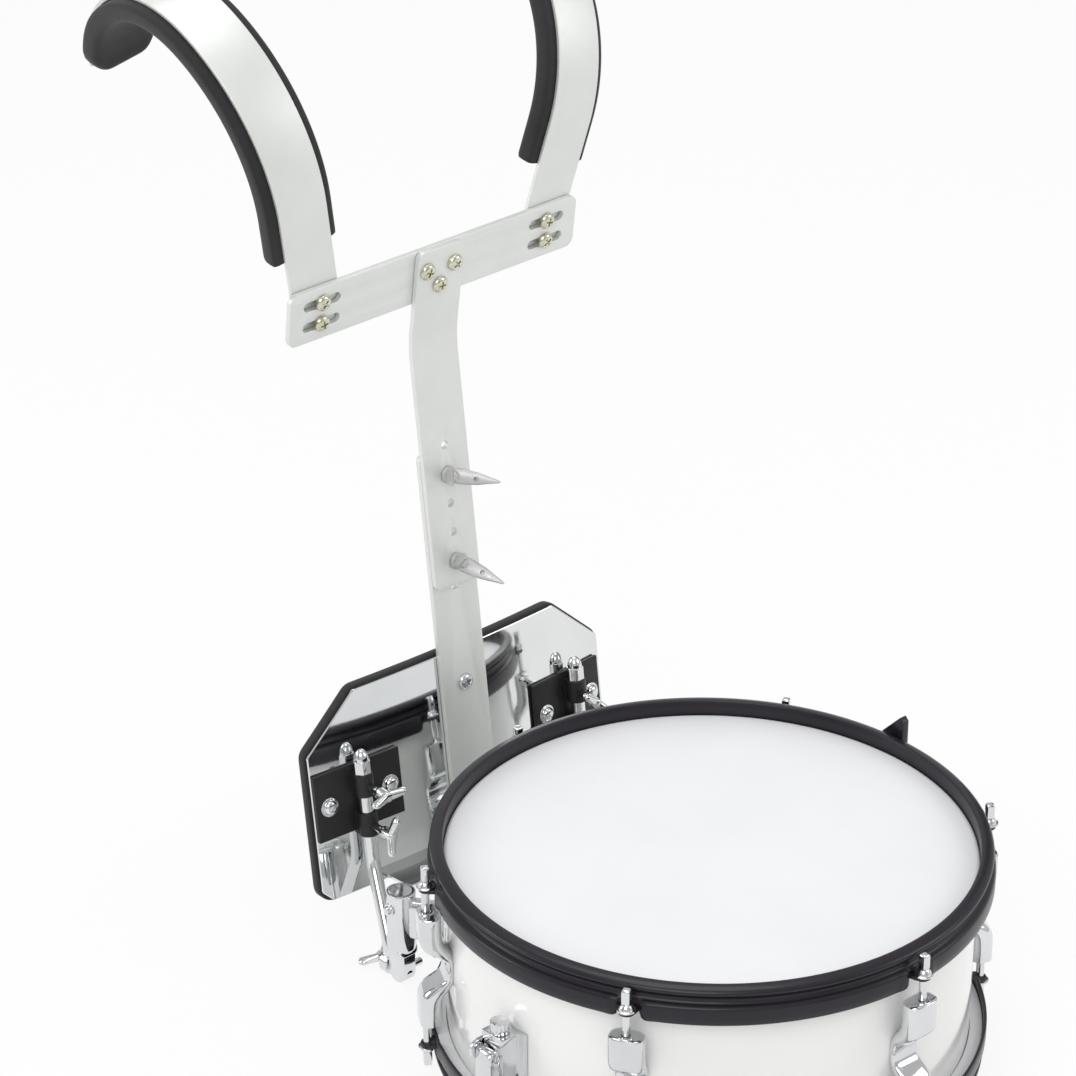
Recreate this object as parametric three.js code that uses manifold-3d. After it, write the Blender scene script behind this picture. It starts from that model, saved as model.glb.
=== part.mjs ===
// Marching snare drum on a shoulder carrier. Millimetres, +Z up.
// The origin is the centre of the playing head. +X runs along the carrier's crossbar,
// -Y points away from the player, and +Y points to the belly plate and the player.
import * as THREE from "three";
import { mergeVertices } from "three/addons/utils/BufferGeometryUtils.js";
import Module from "manifold-3d";

const wasm = await Module();
wasm.setup();

// Shared clearances and counts
const gap = 0.3; // left between two pieces that touch
const boltClearance = 0.4; // between a bolt and the wall of its hole
const overrun = 2; // how far a cutter passes the face that it cuts
const ringSides = 48; // facets round the drum
const rodSides = 8;
const tubeSides = 12;
const cornerSteps = 3; // steps in one rounded corner
const fullTurn = Math.PI * 2;
const quarterTurn = Math.PI / 2;
const degree = Math.PI / 180;
const mirrored = [-1, 1];

// Drum shell and heads
const shellRadius = 176.8;
const shellWall = 7;
const depth = 137; // between the outer faces of the two heads
const film = 0.6; // head film
const filmEdgeDrop = 1.9; // the film turns down over the bearing edge within this height
const filmEdgeRun = 3;
const fleshHoopWidth = 8;
const fleshHoopHeight = 5;
const fleshHoopDrop = 4.6; // from the head's face down to the top of its flesh hoop
const bearingEdgeFlat = 1.6;

// Counterhoops
const hoopRise = 10.4; // rim above the head
const hoopWall = 2.4;
const hoopEdge = 0.9; // chamfer at the rim's top
const rimOverhang = 10.2; // the rim's top turns outwards this far past the shell
const rimRadius = shellRadius + rimOverhang;
const rimSlope = 1.8; // and falls by this much on the way
const skirtBevel = 2;
const skirtDrop = 15.3; // from the head's face down to the skirt's lower edge
const earDrop = 6.4; // from the head's face down to the ear's face
const earThickness = 3.4;
const earReach = 7; // past the rod's centre
const earWidth = 14;
const skirtNotchRadius = 10.5;

// Lugs and tension rods
const lugCount = 6;
const rodStandoff = 16.1; // from the shell out to the rods' circle
const rodCircle = shellRadius + rodStandoff;
const rodRadius = 2.8;
const rodEngagement = 14;
const rodWasherRadius = 5.5;
const rodWasher = 1.2;
const rodCone = 2.6;
const rodConeTopRadius = 3.6;
const rodHeadSquare = 5.8;
const rodHeadHeight = 11.6;
const lugCupDrop = 26; // from the head's face down to the cup's top
const lugCupHeight = 20;
const lugWidth = 24;
const lugCupLip = 5.6; // from the rod's axis out to the cup's face
const lugCupThickness = 15;
const lugCupGap = rodStandoff + lugCupLip - lugCupThickness; // between the shell and the cup's inner face
const lugCorner = 7;
const lugFoot = 4.4;
const lugFootHeight = 9;
const lugFeetLap = 0.5; // the feet of the two halves run into each other at mid height
// The arm curves back to the shell within what the cup and the foot leave of the half height.
const lugArmHeight = depth / 2 + lugFeetLap - lugCupDrop - lugCupHeight - lugFootHeight;
const lugBridgeWidth = 6;

// Snare wires, strainer and butt
const snareStrands = 10;
const snareBand = 40; // across all the strands
const snareStrand = 1.8;
const snareMargin = 30.8; // from the shell's face in to the ends of the wires
const snareLength = 2 * (shellRadius - snareMargin);
const snarePlate = 14;
const snareThickness = 1.4;
const snareRibbonWidth = 24;
const snareRibbon = 0.8;
const snareGateMargin = 4;
const strainerWidth = 30;
const strainerHeight = 58;
const strainerPlate = 3;
const strainerBlock = 14; // stands this far off the plate
const strainerBlockWidth = 20;
const strainerBottomLift = 17; // above the lower head's face
const strainerTop = depth - strainerBottomLift - strainerHeight; // below the upper head's face
const strainerLeverLength = 44;
const strainerLeverWidth = 14;
const strainerLeverThickness = 4;
const strainerPinRadius = 2.4;
const strainerPinDrop = 12;
const knobRadius = 6.5;
const knobHeight = 8;
const knobFlutes = 12;
const knobStemRadius = 2.5;
const knobStem = 8;
const knobSeatOffset = 7.4; // from the shell's side of the block to the knob's axis
const buttHeight = 34;
const buttWidth = 30;
const buttThickness = 9;
const buttClampWidth = 26;
const buttBottomLift = 20; // above the lower head's face

// Black hook plate on the drum's right side: it stands beside the rim, its face towards the drum's axis
const hookClearance = 2.2; // between the rim and the plate
const hookFace = rimRadius + hookClearance; // its inner face from the drum's axis
const hookThickness = 6;
const hookFront = 5.5; // its front edge behind the middle
const hookLength = 19;
const hookWidth = 11; // of the part below the rim
const hookCorner = 3;
const hookRise = 22.3; // above the head
const hookTipRise = 5.6;
const hookNeckDrop = 8;
const hookFootLift = 17; // from the butt plate's top up to the hook's foot
const hookFootDrop = depth - buttBottomLift - buttHeight - hookFootLift;
const hookFootHeight = 22;

// Receivers on the shell that hold the carrier's rods
const receiverAngle = 148.8; // from the front, to both sides
const receiverStandoff = 41.6; // from the shell out to the receiver's axis
const receiverCircle = shellRadius + receiverStandoff;
const receiverRadius = 10.2;
const receiverTube = 45;
const receiverDish = 1.2;
const receiverDishRadius = 7.6;
const receiverFootWidth = 30;
const receiverFoot = 6;
const receiverWeb = 12;
const receiverWebHeight = 30;
const receiverLift = 21; // from the lower head's face up to the receiver's foot
const receiverDrop = depth - receiverLift - receiverWebHeight - 2 * receiverFoot;
const yokeWidth = 11; // across the clamp bolt
const yokeDepth = 16.6; // along it
const yokeHeight = 27.5;
const yokeCap = 18; // width of the block on top of the yoke
const yokeCapHeight = 5;
const crossPinRadius = 2.9; // stub on the yoke's side that faces the drum's middle
const crossPinReach = 17;
const clampBoltDrop = 64.5; // from the receiver's top down to the clamp bolt
const clampBoltRadius = 3;
const eyeRadius = 8;
const eyeThickness = 7;
const eyeStandoff = 12.6; // eye's middle behind the receiver's axis

// Carrier: position and tilt of the belly plate and the lower mast
const plateStandoff = 73.6; // from the shell back to the plate's front face, at the head's height
const plateDistance = shellRadius + plateStandoff;
const carrierTiltRise = 0.13; // the plate goes back this far per unit of height
const carrierTilt = -Math.atan(carrierTiltRise);
const plateBendRadius = 1200;
const plateThickness = 2;
const plateHalfWidth = 135;
const plateTop = 46;
const plateBottom = -103;
const plateTopHalfWidth = 92.5;
const plateKnee = 8; // height of the corner where the sloping edge meets the upright one
const plateBottomCorner = 8;
const plateFlange = 24; // folded forward at the bottom
const plateFlangeHalfWidth = 80;
const foamThickness = 8;
const foamBorder = 2;
const plateStationShares = [1 / 3, 2 / 3, 1]; // the bend's stations within half the width of the plate's top

// Rod clamps on the belly plate
const clampPlace = 98.7; // along the plate from its middle
const clampReach = [36, 31]; // from the sleeves to the plate's outer edge, left and right
const clampInner = 36;
const clampTop = -6;
const clampHeight = 50;
const clampPlate = 3;
const clampBoltReach = [25.5, 21];
const clampBoltInner = 25.5;
const clampBoltHead = 5.2;
const clampBoltHeadHeight = 4;
const clampWasherRadius = 7;
const clampWasher = 1.2;
const sleeveRadius = 7;
const sleeveStandoff = 11; // sleeve's axis in front of the belly plate
const sleeveTop = -11.2;
const sleeveBottom = -58;
const upperSleeveBottom = -28;
const lowerSleeveTop = -40.5;
const rodBarRadius = 5; // the bent rods
const rodStraightEnd = -80; // where the rod starts to turn forwards
const rodLevelRise = 12; // above the eye, where it turns down again
const rodBendRadius = 26;
const acornStudRadius = 3;
const acornStud = 8;
const acornHex = 6.4; // across the corners, half
const acornHexHeight = 9;
const acornDomeRadius = 5.3;
const acornDomeHeight = 8.2;

// Wing bolts
const sleeveWing = {
  shank: 3, hub: 4.2, neck: 3.2, hubHeight: 13, root: 8.5, span: 14.4, rise: 3.5, web: 3.5, tip: 3.8, eye: 0,
};
const eyeWing = {
  shank: 3, hub: 5, neck: 3.6, hubHeight: 9, root: 4, span: 14.8, rise: 8, web: 3.5, tip: 3.8, eye: 0,
};
const mastWing = {
  shank: 3, hub: 6.2, neck: 4, hubHeight: 10, root: 2.5, span: 21, rise: 21, web: 3, tip: 4.2, eye: 1.8,
};
const sleeveWingStandoff = 19; // from the rod's axis to the hub
const upperWingHeight = -20;
const lowerWingHeight = -50;
const sleeveWingTurns = [-6, -14]; // left and right, from straight ahead towards +X
const upperWingRolls = [9, -43]; // the wings' turn about their own bolt, left and right
const lowerWingRolls = [72, 60];
const eyeWingRolls = [-16, 16];
const mastWingRolls = [-44, -15]; // lower and upper

// Masts
const mastWidth = 40;
const mastThickness = 4;
const lowerMastTop = 196;
const lowerMastBottom = -72;
const mastSlotWidth = 7;
const mastSlotBottom = 92;
const mastSlotTop = 190;
const mastScrewHeight = 22;
const upperMastBottom = 97;
const upperMastBend = 276; // height of the bend along the mast
const upperMastTop = 348.3;
const forwardLean = 8 * degree; // above the bend the mast leans forward
const bendBlend = 13;
const mastCorner = 5;
const mastHolePitch = 21.4;
const mastHoleLowest = 114.5;
const mastHoles = 5;
const mastHoleRadius = 3.4;
const mastWingHoles = [0, 3]; // counted from the lowest hole

// Crossbar and screws
const barLength = 251;
const barHeight = 39.5;
const barThickness = 4;
const barCorner = 9;
const barDrop = 19.5; // from the mast's top down to the bar's middle
const barRoll = -1.1 * degree; // the bar sits slightly turned on its mast, its right end up
const slotEndRun = 27; // from the bar's end in to the middle of its slots
const slotPlace = barLength / 2 - slotEndRun;
const slotLength = 31;
const slotWidth = 7;
const slotSpacing = 15.6;
const screwHead = 4.8;
const screwHeadHeight = 3;
const screwRadius = 2.6;
const mastScrewSpacing = 24;
const mastScrewRise = 5;
const mastScrewDrop = 8;

// Shoulder straps and pads
const strapSplay = 13 * degree;
const strapWidth = 38;
const strapThickness = 3;
const strapFoot = 15; // strap below the bar's middle
const strapStraight = 77; // strap above the bar's middle before it bends
const strapFrontRadius = 125;
const strapFrontSweep = 68 * degree;
const strapRearRadius = 88;
const strapRearSweep = 108 * degree;
const strapTail = 6;
const strapSteps = 9; // along each bend
const padWidth = 52;
const padThickness = 15;
const padStart = 47; // pad's lower end above the bar's middle
const padCrownShare = 0.82; // width of the pad's outer face as a share of its full width
const padSideShare = 0.62; // height of the pad's widest line as a share of its thickness

// Materials
const finish = (color, roughness, metalness) =>
  new THREE.MeshStandardMaterial({ color, roughness, metalness });
const chrome = finish("#c9cbd0", 0.12, 1);
const black = finish("#1c1b20", 0.42, 0.2);
const aluminium = finish("#d5d8d4", 0.42, 0.85);
const mirror = finish("#d2d6d6", 0.05, 1);
const foam = finish("#17171a", 0.9, 0);
const lacquer = finish("#eceeee", 0.2, 0);
const headFilm = finish("#f3f3f5", 0.45, 0);
const steelWire = finish("#b8babd", 0.3, 1);
const zinc = finish("#c8c6a4", 0.3, 0.9);

// Solids
function solid(geometry) {
  const bare = geometry.index ? geometry.toNonIndexed() : geometry.clone();
  bare.deleteAttribute("normal");
  bare.deleteAttribute("uv");
  const merged = mergeVertices(bare, 1e-4);
  const triVerts = new Uint32Array(merged.index.array);
  const vertProperties = merged.attributes.position.array;
  const made = () => new wasm.Manifold(new wasm.Mesh({ numProp: 3, vertProperties, triVerts }));
  const first = made();
  if (first.volume() > 0) return first;
  for (let i = 0; i < triVerts.length; i += 3) {
    [triVerts[i + 1], triVerts[i + 2]] = [triVerts[i + 2], triVerts[i + 1]];
  }
  return made();
}

function meshOf(body, name, material) {
  const data = body.getMesh();
  const stride = data.numProp;
  const places = new Float32Array(data.numVert * 3);
  for (let i = 0; i < data.numVert; i++) {
    places.set(data.vertProperties.subarray(i * stride, i * stride + 3), i * 3);
  }
  const geometry = new THREE.BufferGeometry();
  geometry.setAttribute("position", new THREE.BufferAttribute(places, 3));
  geometry.setIndex(new THREE.BufferAttribute(data.triVerts, 1));
  geometry.computeVertexNormals();
  const mesh = new THREE.Mesh(geometry, material);
  mesh.name = name;
  return mesh;
}

const moved = (body, x, y, z) => body.transform(new THREE.Matrix4().makeTranslation(x, y, z).toArray());
const turned = (body, x, y, z) => {
  const turn = new THREE.Matrix4().makeRotationFromEuler(new THREE.Euler(x, y, z));
  return body.transform(turn.toArray());
};
const joined = (bodies) => bodies.reduce((sum, body) => sum.add(body));

// Revolves [radius, height] points about Z; a profile that does not start on the axis closes on itself.
function revolve(points, sides) {
  const outline = points.map(([r, z]) => new THREE.Vector2(r, z));
  if (points[0][0] > 0) outline.push(outline[0].clone());
  return solid(new THREE.LatheGeometry(outline, sides).rotateX(quarterTurn));
}

// Bar along Z from one height to another.
const bar = (radius, low, high, sides) =>
  revolve([[0, low], [radius, low], [radius, high], [0, high]], sides);

// Box from its low and high corners.
function block(x0, x1, y0, y1, z0, z1) {
  const box = new THREE.BoxGeometry(x1 - x0, y1 - y0, z1 - z0);
  return solid(box.translate((x0 + x1) / 2, (y0 + y1) / 2, (z0 + z1) / 2));
}

const pathOf = (points) => new THREE.Shape(points.map(([x, y]) => new THREE.Vector2(x, y)));

// Extrudes a shape drawn in X and Y upwards along Z from one height to another.
function slab(shape, low, high) {
  const settings = { depth: high - low, bevelEnabled: false, curveSegments: cornerSteps };
  const made = new THREE.ExtrudeGeometry(shape, settings);
  return solid(made.translate(0, 0, low));
}

// Extrudes a shape drawn in X and Z through Y.
const plateXZ = (shape, near, far) => turned(slab(shape, -far, -near), quarterTurn, 0, 0);

// Extrudes a shape drawn in radius and height through a width that is centred on Y = 0, along +X.
const finRZ = (shape, width) => plateXZ(shape, -width / 2, width / 2);

// Rectangle with rounded corners, drawn about its centre.
function rounded(width, height, corner) {
  const r = Math.min(corner, width / 2, height / 2);
  const [x, y] = [width / 2, height / 2];
  const shape = new THREE.Shape();
  shape.moveTo(x - r, -y);
  shape.absarc(x - r, r - y, r, -quarterTurn, 0, false);
  shape.absarc(x - r, y - r, r, 0, quarterTurn, false);
  shape.absarc(r - x, y - r, r, quarterTurn, Math.PI, false);
  shape.absarc(r - x, r - y, r, Math.PI, Math.PI + quarterTurn, false);
  return shape;
}

// Hole's outline: a polygon drawn round the circle, so that a round bolt of this radius passes.
function holePath(x, z, radius) {
  const r = radius / Math.cos(Math.PI / rodSides);
  const corners = Array.from({ length: rodSides }, (_, i) => (i * fullTurn) / rodSides);
  return pathOf(corners.map((a) => [x + r * Math.cos(a), z + r * Math.sin(a)]));
}

// Slot whose long side runs along X, or along Z when upright.
function slotShape(centreX, centreZ, length, width, upright) {
  const shape = upright ? rounded(width, length, width / 2) : rounded(length, width, width / 2);
  const points = shape.getPoints(cornerSteps);
  return pathOf(points.map((p) => [p.x + centreX, p.y + centreZ]));
}

// Places a body drawn along +X at an angle round the drum, counted from the front towards +X.
const aroundDrum = (body, angle) => turned(body, 0, 0, angle * degree - quarterTurn);

// Rings of the drum
const headCollar = shellRadius + gap;
const hoopInner = headCollar + film + gap;
const hoopOuter = hoopInner + hoopWall;
const fleshOuter = headCollar + film + fleshHoopWidth;
const hoopCollarInner = fleshOuter + gap;
const hoopCollarOuter = hoopCollarInner + hoopWall;
const stepUnder = gap - fleshHoopDrop;
const stepTop = stepUnder + hoopWall;
const skirtBottom = -skirtDrop;
const earTop = -earDrop;
const earUnder = earTop - earThickness;
const upsideDown = (body) => moved(turned(body, Math.PI, 0, 0), 0, 0, -depth);
const lugAngles = Array.from({ length: lugCount }, (_, i) => (i * 360) / lugCount);

function headBody() {
  const turn = filmEdgeDrop;
  const flat = headCollar + film - filmEdgeRun;
  return revolve(
    [
      [0, -film],
      [flat - film, -film],
      [headCollar, -turn - film],
      [headCollar, -fleshHoopDrop - fleshHoopHeight],
      [fleshOuter, -fleshHoopDrop - fleshHoopHeight],
      [fleshOuter, -fleshHoopDrop],
      [headCollar + film, -fleshHoopDrop],
      [headCollar + film, -turn],
      [flat, 0],
      [0, 0],
    ],
    ringSides,
  );
}

function hoopBody() {
  let hoop = revolve(
    [
      [hoopInner, hoopRise - hoopEdge],
      [hoopInner + hoopEdge, hoopRise],
      [hoopOuter, hoopRise],
      [rimRadius - hoopEdge, hoopRise - rimSlope],
      [rimRadius, hoopRise - rimSlope - hoopEdge],
      [rimRadius, hoopRise - rimSlope - hoopWall],
      [hoopOuter, hoopRise - hoopWall],
      [hoopOuter, stepTop],
      [hoopCollarOuter - skirtBevel, stepTop],
      [hoopCollarOuter, stepTop - skirtBevel],
      [hoopCollarOuter, skirtBottom],
      [hoopCollarInner, skirtBottom],
      [hoopCollarInner, stepUnder],
      [hoopInner, stepUnder],
    ],
    ringSides,
  );
  const tab = new THREE.Shape();
  tab.moveTo(hoopCollarInner, -earWidth / 2);
  tab.lineTo(rodCircle, -earWidth / 2);
  tab.absellipse(rodCircle, 0, earReach, earWidth / 2, -quarterTurn, quarterTurn, false);
  tab.lineTo(hoopCollarInner, earWidth / 2);
  const ear = slab(tab, earUnder, earTop);
  const low = skirtBottom - overrun;
  const notch = moved(bar(skirtNotchRadius, low, earUnder, tubeSides), rodCircle, 0, 0);
  const hole = moved(bar(rodRadius + boltClearance, low, overrun, rodSides), rodCircle, 0, 0);
  const seat = moved(bar(rodWasherRadius + gap, earTop, overrun, rodSides), rodCircle, 0, 0);
  const cut = notch.add(hole).add(seat);
  for (const angle of lugAngles) {
    hoop = hoop.add(aroundDrum(ear, angle)).subtract(aroundDrum(cut, angle));
  }
  return hoop;
}

function shellBody() {
  const top = -film - gap;
  const edge = headCollar + film - filmEdgeRun;
  const inner = shellRadius - shellWall;
  const half = [
    [shellRadius, -filmEdgeDrop - film - gap],
    [edge - film, top],
    [edge - film - bearingEdgeFlat, top],
    [inner, top - (edge - film - bearingEdgeFlat - inner)],
  ];
  const lower = half.map(([r, z]) => [r, -depth - z]).reverse();
  return revolve([...half, ...lower], ringSides);
}

// What stands on the shell is cut to the shell's round face.
const shellCutter = bar(shellRadius + gap, -depth, 0, ringSides);
const seatOnShell = (body) => body.subtract(shellCutter);

function tensionRod() {
  const seatHeight = earTop + gap;
  const cone = seatHeight + rodWasher + rodCone;
  const shank = revolve(
    [
      [0, -lugCupDrop - rodEngagement],
      [rodRadius, -lugCupDrop - rodEngagement],
      [rodRadius, seatHeight],
      [rodWasherRadius, seatHeight],
      [rodWasherRadius, seatHeight + rodWasher],
      [rodConeTopRadius, cone],
      [0, cone],
    ],
    rodSides,
  );
  const half = rodHeadSquare / 2;
  const head = block(-half, half, -half, half, cone - rodWasher, cone + rodHeadHeight);
  return moved(shank.add(head), rodCircle, 0, 0);
}

function lugBody() {
  const inner = shellRadius + lugCupGap;
  const outer = inner + lugCupThickness;
  const foot = shellRadius + lugFoot;
  const top = -lugCupDrop;
  const curve = top - lugCupHeight;
  const armEnd = curve - lugArmHeight;
  const footTop = curve - lugArmHeight / 2;
  const side = new THREE.Shape();
  side.moveTo(inner, top);
  side.lineTo(inner, curve);
  side.quadraticCurveTo(inner, footTop, shellRadius, footTop);
  side.lineTo(shellRadius, armEnd - lugFootHeight);
  side.lineTo(foot, armEnd - lugFootHeight);
  side.lineTo(foot, armEnd);
  side.quadraticCurveTo(outer, armEnd, outer, curve);
  side.lineTo(outer, top);
  const plan = rounded(2 * lugCupThickness, lugWidth, lugCorner);
  const column = slab(plan, armEnd - lugFootHeight - overrun, top + overrun);
  const rounding = moved(column, outer - lugCupThickness, 0, 0);
  const cup = finRZ(side, lugWidth).intersect(rounding);
  const screwHole = moved(
    bar(rodRadius + boltClearance, top - rodEngagement - overrun, top + overrun, rodSides),
    rodCircle, 0, 0,
  );
  const bored = cup.subtract(screwHole);
  const bridgeTop = armEnd - lugFootHeight / 2;
  const bridge = block(
    shellRadius, foot, -lugBridgeWidth / 2, lugBridgeWidth / 2, -depth - bridgeTop, bridgeTop,
  );
  return seatOnShell(joined([bored, upsideDown(bored), bridge]));
}

// Snare wires under the lower head, on ribbons that leave through gates in the lower hoop
const snareTop = -depth - gap;
const ribbonOut = hoopCollarOuter + gap;
const strainerLow = -strainerTop - strainerHeight;
const buttLow = buttBottomLift - depth;
const gateHalf = snareRibbonWidth / 2 + snareGateMargin;

function ribbon(side, holderLow) {
  const start = snareLength / 2 - snarePlate / 2;
  const low = snareTop - snareRibbon;
  const top = holderLow - gap;
  const out = ribbonOut + snareRibbon;
  const path = [
    [start, low], [out, low], [out, top], [out - snareRibbon, top],
    [out - snareRibbon, low + snareRibbon], [start, low + snareRibbon],
  ];
  const outline = pathOf(path.map(([x, z]) => [side * x, z]));
  return plateXZ(outline, -snareRibbonWidth / 2, snareRibbonWidth / 2);
}

function snareBody() {
  const outline = pathOf([
    [-snareLength / 2, -snareBand / 2], [snareLength / 2, -snareBand / 2],
    [snareLength / 2, snareBand / 2], [-snareLength / 2, snareBand / 2],
  ]);
  const pitch = (snareBand - snareStrand) / (snareStrands - 1);
  const open = snareLength / 2 - snarePlate;
  for (let i = 1; i < snareStrands; i++) {
    const low = pitch * i + snareStrand - pitch - snareBand / 2;
    const high = pitch * i - snareBand / 2;
    outline.holes.push(pathOf([[-open, low], [-open, high], [open, high], [open, low]]));
  }
  const wires = slab(outline, snareTop - snareThickness, snareTop);
  return joined([wires, ribbon(-1, strainerLow), ribbon(1, buttLow)]);
}

function gatedHoop(hoop) {
  const gateTop = -depth + fleshHoopDrop - gap - hoopWall;
  const wall = mirrored.map((side) => {
    const [near, far] = [side * (hoopInner - overrun), side * (rimRadius + overrun)];
    const [low, high] = [Math.min(near, far), Math.max(near, far)];
    return block(low, high, -gateHalf, gateHalf, -depth - hoopRise - overrun, gateTop);
  });
  return wall.reduce((left, cut) => left.subtract(cut), hoop);
}

// Strainer: plate and block on the shell's left side, with a lever that swings out and a knob on top
const strainerFace = shellRadius + strainerPlate + strainerBlock;
const strainerPinZ = -strainerTop - strainerPinDrop;
const knobPlace = shellRadius + strainerPlate + knobSeatOffset;

function strainerBody() {
  const half = strainerWidth / 2;
  const plate = block(shellRadius, shellRadius + strainerPlate, -half, half, strainerLow, -strainerTop);
  const blockHalf = strainerBlockWidth / 2;
  const boxy = pathOf([
    [shellRadius, -strainerTop], [strainerFace, -strainerTop],
    [strainerFace, strainerLow + strainerBlock], [strainerFace - strainerBlock / 2, strainerLow],
    [shellRadius, strainerLow],
  ]);
  const body = finRZ(boxy, 2 * blockHalf);
  const ear = new THREE.Shape();
  const pinR = strainerFace + gap + strainerLeverThickness;
  ear.moveTo(strainerFace - overrun, strainerPinZ - strainerLeverWidth / 2);
  ear.absarc(pinR, strainerPinZ, strainerLeverWidth / 2, -quarterTurn, quarterTurn, false);
  ear.lineTo(strainerFace - overrun, strainerPinZ + strainerLeverWidth / 2);
  const cheeks = finRZ(ear, strainerBlockWidth);
  const slotHalf = strainerLeverWidth / 2 + gap;
  const room = strainerLeverWidth + overrun;
  const slot = block(
    strainerFace, pinR + room, -slotHalf, slotHalf, strainerPinZ - room, strainerPinZ + room,
  );
  const pinHole = turned(bar(strainerPinRadius + boltClearance, -half, half, rodSides), quarterTurn, 0, 0);
  const stemLow = -strainerTop - knobStem - gap;
  const stem = bar(knobStemRadius + boltClearance, stemLow, overrun - strainerTop, rodSides);
  let made = joined([plate, body, cheeks.subtract(slot)]);
  made = made.subtract(moved(pinHole, pinR, 0, strainerPinZ)).subtract(moved(stem, knobPlace, 0, 0));
  return seatOnShell(made);
}

function strainerLever() {
  const pinR = strainerFace + gap + strainerLeverThickness;
  const outline = new THREE.Shape();
  const eye = strainerLeverThickness;
  outline.moveTo(pinR - eye, strainerPinZ);
  outline.absarc(pinR, strainerPinZ, eye, Math.PI, 0, true);
  outline.lineTo(pinR + eye, strainerPinZ - strainerLeverLength);
  outline.lineTo(pinR + eye + overrun, strainerPinZ - strainerLeverLength - overrun);
  outline.lineTo(pinR + eye - strainerLeverThickness, strainerPinZ - strainerLeverLength - overrun);
  outline.lineTo(pinR, strainerPinZ - strainerLeverLength / 2);
  outline.lineTo(pinR - eye, strainerPinZ - 2 * eye);
  const arm = finRZ(outline, strainerLeverWidth);
  const half = strainerBlockWidth / 2;
  const pin = turned(bar(strainerPinRadius, -half, half, rodSides), quarterTurn, 0, 0);
  return arm.add(moved(pin, pinR, 0, strainerPinZ));
}

// Knurled knob: a disc with rounded flutes cut round its edge.
function knobBody() {
  const low = gap - strainerTop;
  let knob = bar(knobRadius, low, low + knobHeight, 2 * knobFlutes);
  const fluteRadius = knobRadius / knobFlutes;
  for (let i = 0; i < knobFlutes; i++) {
    const a = (i * fullTurn) / knobFlutes;
    const flute = bar(fluteRadius, low - overrun, low + knobHeight + overrun, rodSides / 2);
    knob = knob.subtract(moved(flute, knobRadius * Math.cos(a), knobRadius * Math.sin(a), 0));
  }
  return knob.add(bar(knobStemRadius, -strainerTop - knobStem, low + gap, rodSides));
}

function buttBody() {
  const half = buttWidth / 2;
  const outline = pathOf([
    [shellRadius, buttLow], [shellRadius + buttThickness, buttLow],
    [shellRadius + buttThickness, buttLow + buttHeight / 2],
    [shellRadius + buttThickness / 2, buttLow + buttHeight], [shellRadius, buttLow + buttHeight],
  ]);
  const base = finRZ(outline, 2 * half);
  const clampHalf = buttClampWidth / 2;
  const jaw = block(
    shellRadius, ribbonOut + 2 * snareRibbon, -clampHalf, clampHalf, buttLow, buttLow + buttHeight / 2,
  );
  return seatOnShell(base.add(jaw));
}

// Black hook plate: a fin whose top slopes down backwards, on a foot that reaches in to the shell
function hookBody() {
  const outer = hookFace + hookThickness;
  const back = hookFront + hookLength;
  const fin = pathOf([
    [hookFront, -hookFootDrop], [hookFront + hookWidth, -hookFootDrop],
    [hookFront + hookWidth, -hookNeckDrop],
    [back, hookTipRise - hookCorner], [back, hookTipRise], [hookFront + hookCorner, hookRise],
    [hookFront, hookRise - hookCorner],
  ]);
  const plate = turned(plateXZ(fin, -outer, -hookFace), 0, 0, quarterTurn);
  const foot = block(
    shellRadius - overrun, hookFace + gap, hookFront, hookFront + hookWidth,
    -hookFootDrop, hookFootHeight - hookFootDrop,
  );
  return seatOnShell(plate.add(foot));
}

// Wing bolt drawn along +Z: the hub's seat is at Z = 0, the shank runs below it
function wingBody(size, shankLength, nutRadius, nutHeight, nutPlace) {
  const hub = revolve(
    [[0, 0], [size.hub, 0], [size.neck, size.hubHeight], [0, size.hubHeight]],
    rodSides,
  );
  const ears = new THREE.Shape();
  const root = size.root;
  const lean = Math.atan2(size.rise, size.span);
  const start = lean - quarterTurn;
  const end = lean + quarterTurn;
  const tipZ = size.hubHeight + size.rise - size.tip;
  const tipX = size.span;
  ears.moveTo(0, root);
  ears.lineTo(size.neck, root);
  ears.absarc(tipX - size.tip, tipZ, size.tip, start, end, false);
  ears.lineTo(0, size.hubHeight);
  ears.absarc(size.tip - tipX, tipZ, size.tip, Math.PI - end, Math.PI - start, false);
  ears.lineTo(-size.neck, root);
  if (size.eye > 0)
    for (const side of mirrored) {
      ears.holes.push(holePath((side * (tipX + size.neck)) / 2, (tipZ + size.hubHeight) / 2, size.eye));
    }
  const shank = bar(size.shank, -shankLength, root, rodSides);
  const parts = [hub, plateXZ(ears, -size.web / 2, size.web / 2), shank];
  if (nutRadius > 0) parts.push(bar(nutRadius, -nutPlace - nutHeight, -nutPlace, rodSides - 2));
  return joined(parts);
}

// Receiver: round tube on a webbed foot, with a tapered yoke below it for the clamp bolt
const receiverTop = -receiverDrop;
const receiverLow = receiverTop - receiverTube;
const yokeLow = receiverLow - yokeHeight;
const boltZ = receiverTop - clampBoltDrop;

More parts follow.
